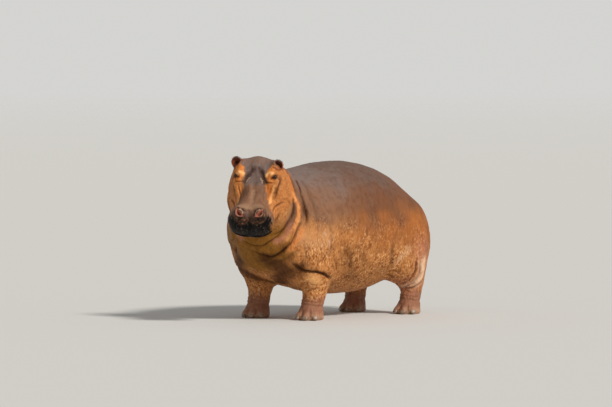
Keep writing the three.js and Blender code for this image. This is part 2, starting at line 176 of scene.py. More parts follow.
# A smooth line through the points, as closely spaced places.
def through(points, spacing=0.004):
    known = np.array(points, float)
    ends = np.vstack([2 * known[0] - known[1], known, 2 * known[-1] - known[-2]])
    pieces = []
    for i in range(len(known) - 1):
        a, b, c, d = ends[i:i + 4]
        t = np.linspace(0, 1, max(2, int(np.linalg.norm(c - b) / spacing)), endpoint=False)[:, None]
        pieces.append(0.5 * (2 * b + (c - a) * t + (2 * a - 5 * b + 4 * c - d) * t ** 2
                             + (3 * b - a - 3 * c + d) * t ** 3))
    return np.vstack(pieces + [known[-1:]])


# Which of the points lie in reach of a path, the nearest place on it for each, and how far off.
def nearPath(points, path, reach):
    boxed = np.all((points > path.min(0) - reach) & (points < path.max(0) + reach), axis=1)
    index = np.flatnonzero(boxed)
    if not len(index):
        return index, index, np.zeros(0)
    gaps = (points[index] ** 2).sum(1)[:, None] + (path ** 2).sum(1)[None] - 2 * points[index] @ path.T
    nearest = gaps.argmin(1)
    distance = np.sqrt(np.maximum(gaps[np.arange(len(index)), nearest], 0))
    close = distance < reach
    return index[close], nearest[close], distance[close]


# 1 on a line, falling smoothly to 0 about two widths away, and towards its ends where it fades.
def streak(points, line, width, fade=0.0):
    path = through(line, width / 2)
    index, at, distance = nearPath(points, path, width * 2.6)
    mask = np.zeros(len(points))
    mask[index] = np.exp(-(distance / width) ** 2)
    if fade:
        mask[index] *= endFade(at, path, -0.02, fade)
    return mask


def noiseAt(points, size, seed=0, octaves=2):
    shift = Vector((seed * 17.3, seed * 5.1, seed * 9.7))
    return np.array([noise.fractal(Vector(p) / size + shift, 1.0, 2.0, octaves) for p in points])


# The bare flesh.

skinSetup = {
    "voxel": 0.0074,
    "overlap": 0.0012,  # the flesh pieces grow by this much, so that they melt together
    "lidCover": 0.0045,  # flesh over the eyeballs
    "underNails": -0.004,
    "trunkSmoothing": 95,  # rounds of smoothing
    "headSmoothing": 26,
    "allSmoothing": 4,
    "triangles": 190000,
    "thinning": 0.15,  # how strongly the plain places lose faces first
}


def applied(obj):
    evaluated = obj.evaluated_get(bpy.context.evaluated_depsgraph_get())
    mesh = bpy.data.meshes.new_from_object(evaluated)
    old = obj.data
    obj.modifiers.clear()
    obj.data = mesh
    bpy.data.meshes.remove(old)


def newObject(name, bm):
    mesh = bpy.data.meshes.new(name)
    bm.to_mesh(mesh)
    bm.free()
    obj = bpy.data.objects.new(name, mesh)
    scene.collection.objects.link(obj)
    return obj


def readCo(mesh):
    co = np.empty(len(mesh.vertices) * 3, np.float32)
    mesh.vertices.foreach_get("co", co)
    return co.reshape(-1, 3).astype(float)


def writeCo(mesh, co):
    mesh.vertices.foreach_set("co", co.astype(np.float32).ravel())
    mesh.update()


def readNormals(mesh):
    normals = np.empty(len(mesh.vertices) * 3, np.float32)
    mesh.vertex_normals.foreach_get("vector", normals)
    return normals.reshape(-1, 3).astype(float)


def growthOf(name):
    if name.startswith("eye_"):
        return skinSetup["lidCover"]
    if "nail" in name:
        return skinSetup["underNails"]
    return skinSetup["overlap"]


def meltedFlesh():
    whole = bmesh.new()
    for name, node in sorted(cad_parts.items()):
        part = bmesh.new()
        part.from_mesh(node.data)
        bmesh.ops.remove_doubles(part, verts=part.verts, dist=2e-5)
        part.normal_update()
        for vert in part.verts:
            vert.co += vert.normal * growthOf(name)
        copy = bpy.data.meshes.new("copy")
        part.to_mesh(copy)
        part.free()
        whole.from_mesh(copy)
        bpy.data.meshes.remove(copy)
    skin = newObject("skin", whole)
    remesh = skin.modifiers.new("melt", "REMESH")
    remesh.mode = "VOXEL"
    remesh.voxel_size = skinSetup["voxel"]
    applied(skin)
    return skin


def weightGroup(obj, name, weights):
    group = obj.vertex_groups.new(name=name)
    levels = np.round(weights * 20).astype(int)
    for level in range(1, 21):
        group.add(np.flatnonzero(levels == level).tolist(), level / 20, "REPLACE")
    return group


def smoothed(obj, rounds, weights=None):
    smooth = obj.modifiers.new("smooth", "SMOOTH")
    smooth.factor = 0.5
    smooth.iterations = rounds
    if weights is not None:
        smooth.vertex_group = weightGroup(obj, "weights", weights).name
    applied(obj)
    obj.vertex_groups.clear()


tailLine = [(1.143, spineY, 1.0), (1.233, spineY, 0.96), (1.289, spineY, 0.87),
            (1.309, spineY, 0.77), (1.307, spineY, 0.66), (1.297, spineY, 0.59)]


# How much of each point is fine form, which only light smoothing keeps: ears, feet and tail.
def fineForm(co):
    fine = np.zeros(len(co))
    for side in ("left", "right"):
        low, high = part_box(f"ear_{side}")
        fine = most(fine, within(co, (low + high) / 2, 1, 0.07, 0.1))
    return most(fine, 1 - rise(co[:, 2], 0.1, 0.2), np.minimum(1, 1.4 * streak(co, tailLine[2:], 0.05)))


def trunkForm(co):
    headShare = within(headPlaces(co), (130, 0, -130), (400, 270, 230), 0.9, 1.3)
    legShare = np.zeros(len(co))
    for foot in feet.values():
        away = np.hypot(co[:, 0] - foot.x, co[:, 1] - foot.y)
        legShare = np.maximum(legShare, (1 - rise(away, 0.16, 0.3)) * (1 - rise(co[:, 2], 0.3, 0.55)))
    return np.clip(1 - headShare - legShare - fineForm(co), 0, 1)


def bareSkin():
    skin = meltedFlesh()
    print("flesh melted together:", len(skin.data.vertices))
    smoothed(skin, skinSetup["allSmoothing"])
    smoothed(skin, skinSetup["headSmoothing"], 1 - fineForm(readCo(skin.data)))
    smoothed(skin, skinSetup["trunkSmoothing"], trunkForm(readCo(skin.data)))
    print("flesh smoothed")
    return skin


# Splits the faces near some places, so that small forms have enough points.
def refine(obj, places, reach):
    bm = bmesh.new()
    bm.from_mesh(obj.data)
    co = np.array([v.co[:] for v in bm.verts])
    near = np.zeros(len(co), bool)
    for place in places:
        near |= np.linalg.norm(co - np.array(place), axis=1) < reach
    bm.verts.ensure_lookup_table()
    chosen = set()
    for i in np.flatnonzero(near):
        chosen.update(bm.verts[i].link_edges)
    edges = [edge for edge in chosen if near[edge.verts[0].index] and near[edge.verts[1].index]]
    bmesh.ops.subdivide_edges(bm, edges=edges, cuts=1, use_grid_fill=True)
    bmesh.ops.triangulate(bm, faces=[face for face in bm.faces if len(face.verts) > 4])
    bm.to_mesh(obj.data)
    bm.free()


# Sculpting tools.


class Clay:
    def __init__(self, obj):
        self.mesh = obj.data
        self.co = readCo(self.mesh)
        self.normal = readNormals(self.mesh)
        # painted shade in grooves and hollows, from 0 to 1
        self.crease = np.zeros(len(self.co))
        self.inner = np.zeros(len(self.co))  # the red flesh inside the nostrils
        self.tree = BVHTree.FromObject(obj, bpy.context.evaluated_depsgraph_get())

    def refresh(self):
        writeCo(self.mesh, self.co)
        self.normal = readNormals(self.mesh)

    def push(self, index, heights):
        self.co[index] += self.normal[index] * heights[:, None]

    # Paints shade: darkens the points where a groove or hollow would lie in shade.
    def darken(self, index, amounts):
        self.crease[index] = np.maximum(self.crease[index], amounts)

    # Lays a line on the skin: its places there and the skin's direction at each.
    def lay(self, line, spacing=0.004):
        path, normals = [], []
        for point in through(line, spacing):
            place, normal, _, _ = self.tree.find_nearest(Vector(point))
            path.append(place)
            normals.append(normal)
        return np.array(path), np.array(normals)

    # A groove along a line, with a roll of skin beside it that can lean over it, and painted shade in the
    # groove.
    def fold(self, line, width, depth, roll=0.0, lean=0.0, side=1, fade=0.25, shade=1.0):
        path, up = self.lay(line)
        for _ in range(6):
            path[1:-1] = (path[:-2] + path[2:] + 2 * path[1:-1]) / 4
            up[1:-1] = up[:-2] + up[2:] + 2 * up[1:-1]
            up /= np.linalg.norm(up, axis=1)[:, None]
        along = np.gradient(path, axis=0)
        along /= np.linalg.norm(along, axis=1)[:, None]
        across = side * np.cross(along, up)
        index, at, _ = nearPath(self.co, path, width * 6)
        offset = ((self.co[index] - path[at]) * across[at]).sum(1) / width
        taper = endFade(at, path, 0, fade)
        groove = np.exp(-offset ** 2) * taper
        swelling = np.exp(-((offset - 2.1) / 1.5) ** 2) * taper
        leaning = np.exp(-((offset - 1.5) / 1.1) ** 2) * taper
        self.push(index, roll * swelling - depth * groove)
        self.co[index] -= across[at] * (lean * leaning)[:, None]
        # Painted shade in the groove, darker for deeper grooves.
        strength = shade * min(1.0, depth / 0.016)
        self.darken(index, strength * np.exp(-(offset * 1.1) ** 2) * taper)

    # Raises a mound, or sinks a hollow where the height is negative.
    def swell(self, place, reach, height):
        distance = np.linalg.norm(self.co - np.array(place), axis=1)
        index = np.flatnonzero(distance < reach * 2.5)
        self.push(index, height * np.exp(-(distance[index] / reach) ** 2))

    # Raises or sinks a rounded band along a line.
    def band(self, line, reach, height, fade=0.2):
        path, _ = self.lay(line, reach / 3)
        index, at, distance = nearPath(self.co, path, reach * 2.5)
        self.push(index, height * endFade(at, path, 0, fade) * np.exp(-(distance / reach) ** 2))


# The head's forms.

eyeSetup = {
    "radius": 0.020,
    "gaze": (0.40, 0.66, 0.63),  # towards the nose, outwards, up
    "openingHalf": 0.0180,  # half the length of the opening
    "upperLid": 0.0125,  # how far the lids stand open above and below its middle
    "lowerLid": 0.0095,
    "lidEdge": 0.0222,  # from the eyeball's centre
    "lidRoll": 0.0262,
    "pocket": 0.013,  # the hidden skin's distance from the eyeball's centre
    "corners": 1.75,  # 2 would be an oval opening, less gives it corners
    "reach": 0.055,  # how far from the eyeball's centre the skin moves
}


# Wrinkles of the lids: how many lid heights over the eye's middle, then width and depth.
lidWrinkles = ((1.62, 0.0030, 0.0032), (2.25, 0.0036, 0.0026),
               (-1.7, 0.0030, 0.0030), (-2.45, 0.0036, 0.0030), (-3.2, 0.0042, 0.0022))


def eyeFrame(side):
    centre = np.array(centreOf("eye_left" if side > 0 else "eye_right"))
    forward, outward, upward = eyeSetup["gaze"]
    gaze = Vector(np.array((forward, side * outward, upward)) @ headTurn).normalized()
    brow = headUp * 0.94 - nose * 0.34  # the lids' upward direction lies square to the gaze
    brow = (brow - gaze * brow.dot(gaze)).normalized()
    front = gaze.cross(brow) * -side
    return centre, np.array(gaze), np.array(brow), np.array(front)


def openEye(clay, side):
    centre, gaze, brow, front = eyeFrame(side)
    away = clay.co - centre
    distance = np.linalg.norm(away, axis=1)
    index = np.flatnonzero(distance < eyeSetup["reach"])
    unit = away[index] / distance[index][:, None]
    facing = unit @ gaze
    across, high = unit @ front * eyeSetup["radius"], unit @ brow * eyeSetup["radius"]
    lid = np.where(high > 0, eyeSetup["upperLid"], eyeSetup["lowerLid"])
    power = eyeSetup["corners"]
    ring = (np.abs(across) / eyeSetup["openingHalf"]) ** power + (np.abs(high) / lid) ** power
    ring = ring ** (1 / power)
    ring = np.where(facing > 0.05, ring, 9)
    inner = eyeSetup["pocket"] + (eyeSetup["lidEdge"] - eyeSetup["pocket"]) * rise(ring, 0.8, 1.0)
    rolled = inner + (eyeSetup["lidRoll"] - eyeSetup["lidEdge"]) * rise(ring, 0.98, 1.35)
    keep = rise(ring, 1.5, 2.3)
    target = rolled * (1 - keep) + distance[index] * keep
    clay.co[index] = centre + unit * target[:, None]
    # Painted shade at the lids' edges and in the pocket behind them.
    clay.darken(index, np.maximum(np.exp(-((ring - 1.0) / 0.16) ** 2), ring < 1))
    clay.refresh()
    for height, width, depth in lidWrinkles:
        arc = []
        for turn in np.linspace(-62, 62, 7):
            angle = math.radians(turn)
            lidSize = eyeSetup["upperLid"] if height > 0 else eyeSetup["lowerLid"]
            arc.append(centre + gaze * 0.02 + front * math.sin(angle) * 0.021 * (0.75 + 0.25 * abs(height))
                       + brow * math.cos(angle) * lidSize * height * 1.25)
        clay.fold(arc, width, depth, roll=depth * 0.5, side=side, shade=0.55)


nostrilSetup = {
    "rear": (390, 108, 21),  # the slit's two ends on the head, in millimetres
    "front": (436, 68, 6),
    "halfWidth": 0.0145,
    "depth": 0.024,
    "rim": 0.0060,
    "curve": 0.55,  # how far the slit curves round the pad, in half widths
    "reach": 0.075,
}


def openNostril(clay, side):
    path, normals = clay.lay(headLine([nostrilSetup["rear"], nostrilSetup["front"]], side), 1)
    rear, front, up = path[0], path[-1], normals[0]
    middle = (rear + front) / 2
    along = (front - rear) / 2
    halfLength = np.linalg.norm(along)
    along /= halfLength
    across = np.cross(along, up)
    across /= np.linalg.norm(across)
    away = clay.co - middle
    index = np.flatnonzero(np.linalg.norm(away, axis=1) < nostrilSetup["reach"])
    x, y = away[index] @ along / halfLength, away[index] @ across / nostrilSetup["halfWidth"]
    bend = y + nostrilSetup["curve"] * side * (1 - x ** 2)
    ring = np.sqrt(x ** 2 + bend ** 2)
    rim = np.exp(-((ring - 1.75) / 0.62) ** 2) * (1 - 0.35 * rise(ring, 1.6, 2.6))
    pit = 1 - rise(ring, 0.45, 1.25)
    clay.push(index, nostrilSetup["rim"] * rim * (1 - pit))
    clay.co[index] -= (up + along * 0.25) * (nostrilSetup["depth"] * pit)[:, None]
    # Painted shade deep in the nostril.
    clay.darken(index, 0.95 * (1 - rise(ring, 0.35, 0.9)))
    clay.inner[index] = np.maximum(clay.inner[index], 1 - rise(ring, 1.1, 1.6))
    clay.refresh()


headFolds = {
    # places on the left side, width, depth, roll and lean in millimetres, and which side rolls
    "mouth": ([(478, 0, -234), (470, 80, -228), (440, 142, -214), (366, 168, -196), (290, 156, -180),
               (215, 152, -184), (140, 174, -208), (70, 206, -238)], 9, 16, 6, 6, 1),
    "lipCorner": ([(96, 200, -196), (66, 222, -232), (66, 238, -275), (86, 236, -318)], 11, 5, 5, 1, -1),
    "cheek": ([(-40, 226, -60), (20, 230, -92), (80, 218, -124), (140, 196, -158)], 12, 3, 4, 0, -1),
    "besideEye": ([(-76, 200, -20), (-46, 208, -30), (-8, 218, -42), (46, 209, -54), (88, 198, -74),
                   (132, 182, -113), (176, 162, -136)], 10, 12, 9, 4, 1),
    "eyeBag": ([(26, 80, -24), (50, 104, -18), (60, 136, -12), (52, 170, -20), (26, 196, -30)],
               6.5, 7, 5, 2, -1),
    "tear": ([(58, 150, -28), (96, 140, -56), (140, 128, -84), (196, 122, -102)], 7, 6, 5, 1, -1),
    "tearInner": ([(70, 118, -34), (108, 116, -58), (150, 108, -76)], 6, 4, 4, 0, -1),
    "browSide": ([(-96, 28, -4), (-56, 46, -11), (-16, 64, -17), (22, 80, -23), (50, 94, -26)],
                 13, 6, 5, 0, -1),
    "muzzleBack": ([(300, 88, -26), (306, 122, -54), (300, 146, -100), (286, 150, -150)], 10, 6, 4, 0, 1),
    "muzzleFold": ([(268, 100, -40), (266, 126, -72), (256, 138, -116), (244, 140, -158)], 8, 4, 3, 0, 1),
    "temple": ([(-128, 196, -74), (-84, 222, -92), (-40, 232, -130), (0, 246, -172)], 9, 5, 4, 0, 1),
}
jowlFolds = {
    "jowlEdge": ([(-10, 306, -214), (25, 315, -243), (67, 324, -296), (128, 318, -348), (195, 286, -383),
                  (251, 239, -410), (297, 180, -434), (330, 100, -450)], 13, 20, 13, 9, -1),
    "cheekHollow": ([(-84, 214, -48), (-40, 244, -100), (0, 262, -150), (44, 272, -206), (92, 262, -262)],
                    20, 7, 6, 0, -1),
    "lipStreak": ([(176, 226, -232), (206, 218, -256), (240, 200, -282), (272, 178, -302)], 9, 6, 5, 1, -1),
    "earBase": ([(-190, 196, -96), (-158, 240, -136), (-112, 284, -186), (-56, 312, -240), (0, 330, -290)],
                13, 12, 9, 4, -1),
}


def headForms(clay):
    for side in (1, -1):
        clay.swell(headPoint((-14, side * 150, 6)), 0.034, 0.010)  # orbit
        for folds, fade, shade in ((headFolds, 0.3, 1.0), (jowlFolds, 0.25, 0.5)):
            for name, (places, *sizes, toward) in folds.items():
                clay.fold(headLine(places, side), *(size / 1000 for size in sizes), side * toward,
                          0.12 if name == "mouth" else fade, shade)
        clay.swell(headPoint((42, side * 172, -36)), 0.024, 0.006)  # bag under the eye
        clay.swell(headPoint((-120, side * 70, 0)), 0.060, -0.007)
        clay.band(headLine([(-40, 62, 0), (40, 50, -12), (150, 42, -10), (280, 44, -8)], side), 0.026, 0.006)
        clay.swell(headPoint((440, side * 96, -112)), 0.060, 0.008)  # whisker pad
        clay.refresh()
        openNostril(clay, side)
        openEye(clay, side)
    clay.band(headLine([(-30, 0, 0), (80, 0, -20), (260, 0, -20), (380, 0, 0)]), 0.024, -0.005)
    clay.band(headLine([(412, 0, -20), (450, 0, -60), (470, 0, -130)]), 0.012, -0.007)
    for along in (118, 150, 186, 224):  # the bridge puckers across
        clay.fold(headLine([(along, 58, -14), (along + 8, 0, -24), (along, -58, -14)]), 0.006, 0.0018,
                  roll=0.001, shade=0.3)
    for along, half in ((-96, 86), (-66, 72), (-38, 58)):  # wrinkles of the forehead
        clay.fold(headLine([(along - 26, half, 0), (along, 0, 4), (along - 26, -half, 0)]), 0.008, 0.0026,
                  roll=0.0016, shade=0.35)
    clay.refresh()


# Folds of the body.

# On the left side: places from the floor and the spine, then width, depth, roll and lean in
# millimetres, which side rolls, and how much of it the right side has.
bodyFolds = {
    "neckCrease": ([(-0.63, 0.34, 1.30), (-0.609, 0.404, 1.221), (-0.581, 0.419, 1.17),
                    (-0.559, 0.433, 1.103), (-0.545, 0.456, 1.031), (-0.532, 0.462, 0.957),
                    (-0.538, 0.474, 0.884), (-0.556, 0.47, 0.80)], 18, 36, 12, 4, 1, 0.3),
    "throatOuter": ([(-0.60, 0.456, 0.93), (-0.619, 0.454, 0.848), (-0.649, 0.435, 0.778),
                     (-0.673, 0.41, 0.707), (-0.708, 0.37, 0.654), (-0.733, 0.32, 0.61),
                     (-0.761, 0.26, 0.582), (-0.805, 0.217, 0.591), (-0.85, 0.16, 0.62),
                     (-0.90, 0.08, 0.66)], 15, 22, 13, 11, 1, 0.7),
    "throatInner": ([(-0.72, 0.43, 0.90), (-0.743, 0.428, 0.868), (-0.781, 0.391, 0.807),
                     (-0.807, 0.343, 0.753), (-0.844, 0.29, 0.709), (-0.861, 0.25, 0.682),
                     (-0.898, 0.186, 0.681), (-0.931, 0.11, 0.707), (-0.94, 0.03, 0.735)],
                    12, 13, 10, 7, 1, 0.7),
    "chestFold": ([(-0.60, 0.42, 0.66), (-0.66, 0.34, 0.56), (-0.72, 0.22, 0.52), (-0.75, 0.08, 0.52)],
                  22, 7, 7, 0, 1, 1.0),
    "withers": ([(-0.44, 0.26, 1.30), (-0.43, 0.38, 1.17), (-0.42, 0.46, 1.0), (-0.41, 0.50, 0.84)],
                30, 6, 5, 0, -1, 0.8),
    "shoulderBack": ([(-0.30, 0.50, 0.90), (-0.26, 0.53, 0.76), (-0.25, 0.52, 0.62), (-0.27, 0.49, 0.5)],
                     26, 6, 5, 0, 1, 1.0),
    "elbowTop": ([(-0.63, 0.35, 0.53), (-0.571, 0.385, 0.492), (-0.507, 0.41, 0.458), (-0.437, 0.44, 0.445),
                  (-0.352, 0.455, 0.433), (-0.235, 0.44, 0.395), (-0.13, 0.39, 0.335)],
                 19, 30, 17, 18, -1, 1.0),
    "elbowBack": ([(-0.20, 0.50, 0.56), (-0.14, 0.49, 0.48), (-0.09, 0.45, 0.40)], 14, 8, 7, 2, 1, 1.0),
    "kneeTop": ([(-0.42, 0.36, 0.33), (-0.34, 0.41, 0.31), (-0.25, 0.40, 0.32)], 10, 4, 4, 0, 1, 1.0),
    "thighA": ([(0.86, 0.455, 0.47), (0.849, 0.440, 0.416), (0.841, 0.417, 0.361), (0.83, 0.366, 0.312),
                (0.80, 0.33, 0.29)], 10, 6, 6, 2, -1, 1.0),
    "thighB": ([(0.90, 0.465, 0.54), (0.89, 0.463, 0.478), (0.896, 0.448, 0.41), (0.883, 0.425, 0.359),
                (0.869, 0.382, 0.308), (0.845, 0.323, 0.277), (0.81, 0.28, 0.27)], 11, 14, 9, 5, -1, 1.0),
    "thighC": ([(0.96, 0.465, 0.54), (0.949, 0.458, 0.449), (0.959, 0.435, 0.375), (0.944, 0.414, 0.321),
                (0.929, 0.378, 0.282), (0.888, 0.336, 0.261), (0.84, 0.28, 0.252)], 12, 11, 9, 3, -1, 0.8),
    "thighD": ([(1.08, 0.42, 0.46), (1.062, 0.416, 0.398), (1.042, 0.397, 0.316), (0.999, 0.394, 0.272),
                (0.944, 0.368, 0.245), (0.883, 0.316, 0.236), (0.83, 0.26, 0.235)], 17, 11, 7, 3, 1, 0.8),
    "flankFold": ([(0.50, 0.50, 0.70), (0.53, 0.50, 0.58), (0.58, 0.46, 0.47), (0.66, 0.40, 0.40)],
                  30, 11, 8, 2, 1, 1.0),
    "groin": ([(0.62, 0.36, 0.36), (0.70, 0.33, 0.33), (0.76, 0.30, 0.33)], 16, 9, 6, 2, 1, 1.0),
    "rumpSide": ([(1.10, 0.34, 0.78), (1.12, 0.36, 0.64), (1.11, 0.38, 0.52)], 26, 6, 5, 0, 1, 1.0),
}


# A toe's mound lies behind and above its nail's middle.
toeSetup = {"rise": 0.009, "reach": 0.026, "behind": 0.004, "above": 0.022, "gapDepth": 0.009,
            "gapWidth": 0.009}


def nailNames(foot):
    return [foot.replace("foot", "nail") + f"_{i}" for i in (1, 2, 3, 4)]


# A rounded toe behind each nail, and grooves between the toes.
def shapeToes(clay, name, foot):
    outs = []
    for node in nailNames(name):
        middle = centreOf(node)
        out = Vector((middle.x - foot.x, middle.y - foot.y, 0))
        outs.append(out)
        toe = middle - out.normalized() * toeSetup["behind"] + Vector((0, 0, toeSetup["above"]))
        clay.swell(toe, toeSetup["reach"], toeSetup["rise"])
    outs.sort(key=lambda out: math.atan2(-out.y, -out.x))
    for first, second in zip(outs, outs[1:]):
        between = (first + second).normalized() * (first.length + second.length) / 2
        line = [Vector((foot.x, foot.y, height)) + between * share
                for height, share in ((0.105, 0.9), (0.075, 1.0), (0.04, 1.05), (0.006, 1.05))]
        clay.fold(line, toeSetup["gapWidth"], toeSetup["gapDepth"], roll=0.002, fade=0.3, shade=0.8)


# Wrinkles round each ankle: height over the floor, then width, depth and roll in millimetres.
ankleRings = ((0.165, 9, 5, 3), (0.198, 8, 3.4, 2), (0.136, 8, 3.6, 2))


def bodyForms(clay):
    for places, width, depth, roll, lean, toward, onRight in bodyFolds.values():
        for side, amount in ((-1, 1.0), (1, onRight)):
            clay.fold(bodyLine(places, side), width / 1000,
                      *(amount * size / 1000 for size in (depth, roll, lean)), -side * toward)
    for side in (-1, 1):
        clay.swell(bodyLine([(-0.37, 0.42, 0.35)], side)[0], 0.085, 0.014)  # forearm
    clay.refresh()
    for name, foot in feet.items():
        shapeToes(clay, name, foot)
        for height, width, depth, roll in ankleRings:
            line = []
            for turn in np.linspace(-130, 130, 9):
                angle = math.radians(turn)
                line.append((foot.x + 0.012 - math.cos(angle) * 0.11, foot.y + math.sin(angle) * 0.11,
                             height + 0.012 * math.cos(2 * angle)))
            clay.fold(line, width / 1000, depth / 1000, roll / 1000, shade=0.5)
    clay.refresh()


# Slack skin: long shallow wrinkles down the sides and small unevenness everywhere.
def slackSkin(clay):
    co = clay.co
    place = headPlaces(co)
    face = within(place, (140, 0, -150), (380, 260, 260), 0.8, 1.2)
    low = 1 - rise(co[:, 2], 0.55, 1.05)
    tall = co * (1, 1, 0.34)
    lumps = noiseAt(co, 0.16, 1) * 0.0040
    wrinkles = (0.5 - np.abs(noiseAt(tall, 0.040, 2, 2))) * 0.0042 * (0.35 + 0.65 * low)
    fine = noiseAt(co, 0.022, 3, 2) * 0.0011
    feetShare = 1 - rise(co[:, 2], 0.04, 0.16)
    share = (1 - 0.75 * face) * (1 - 0.7 * feetShare) * (1 - 0.6 * fineForm(co))
    snout = rise(place[:, 0], 385, 430) * face * (1 - clay.inner)
    warts = rise(noiseAt(co, 0.013, 8, 2), 0.0, 0.5) * 0.0030 * snout
    clay.co = co + clay.normal * ((lumps + wrinkles + fine) * share + warts)[:, None]
    clay.refresh()


# Soles lie flat on the floor.
def flattenSoles(clay):
    sole = clay.co[:, 2] < 0.004
    clay.co[sole, 2] = 0.0
    clay.co[:, 2] = np.maximum(clay.co[:, 2], 0)
    clay.refresh()


skin = bareSkin()
eyePlaces = [eyeFrame(side)[0] for side in (1, -1)]
nostrilPlaces = [headPoint((414, side * 87, 14)) for side in (1, -1)]
earPlaces = [np.array(centreOf(f"ear_{side}")) for side in ("left", "right")]
earMouths = ((0.62, 0.30, 0.72), (0.61, -0.14, 0.77))  # which way each ear opens, on the head
refine(skin, eyePlaces + nostrilPlaces, 0.075)
refine(skin, earPlaces, 0.085)
refine(skin, eyePlaces, 0.042)
refine(skin, nostrilPlaces, 0.034)
clay = Clay(skin)
headForms(clay)
bodyForms(clay)
print("folds sculpted")
slackSkin(clay)
flattenSoles(clay)
print("skin:", len(clay.co), "points")


# Fewer faces where the skin is plain, keeping the eyes, nostrils, ears and folds.
def thinned(obj, clay):
    for name, values in (("crease", clay.crease), ("inner", clay.inner)):
        layer = obj.data.attributes.new(name, "FLOAT", "POINT")
        layer.data.foreach_set("value", values.astype(np.float32))
    face = within(headPlaces(clay.co), (150, 0, -120), (400, 260, 220), 0.8, 1.3)
    plain = 1 - np.clip(0.9 * clay.crease + 0.6 * face + 0.7 * fineForm(clay.co), 0, 1)
    weightGroup(obj, "plain", plain)
    total = sum(len(p.vertices) - 2 for p in obj.data.polygons)
    if total > skinSetup["triangles"]:
        decimate = obj.modifiers.new("thin", "DECIMATE")
        decimate.ratio = skinSetup["triangles"] / total
        decimate.vertex_group = "plain"
        decimate.vertex_group_factor = skinSetup["thinning"]
    applied(obj)
    obj.vertex_groups.clear()
    for polygon in obj.data.polygons:
        polygon.use_smooth = True
    print("skin thinned:", len(obj.data.polygons), "faces")


thinned(skin, clay)

# Markings.


def addMask(mesh, name, values):
    layer = mesh.attributes.get(name) or mesh.attributes.new(name, "FLOAT", "POINT")
    layer.data.foreach_set("value", np.clip(values, 0, 1).astype(np.float32))


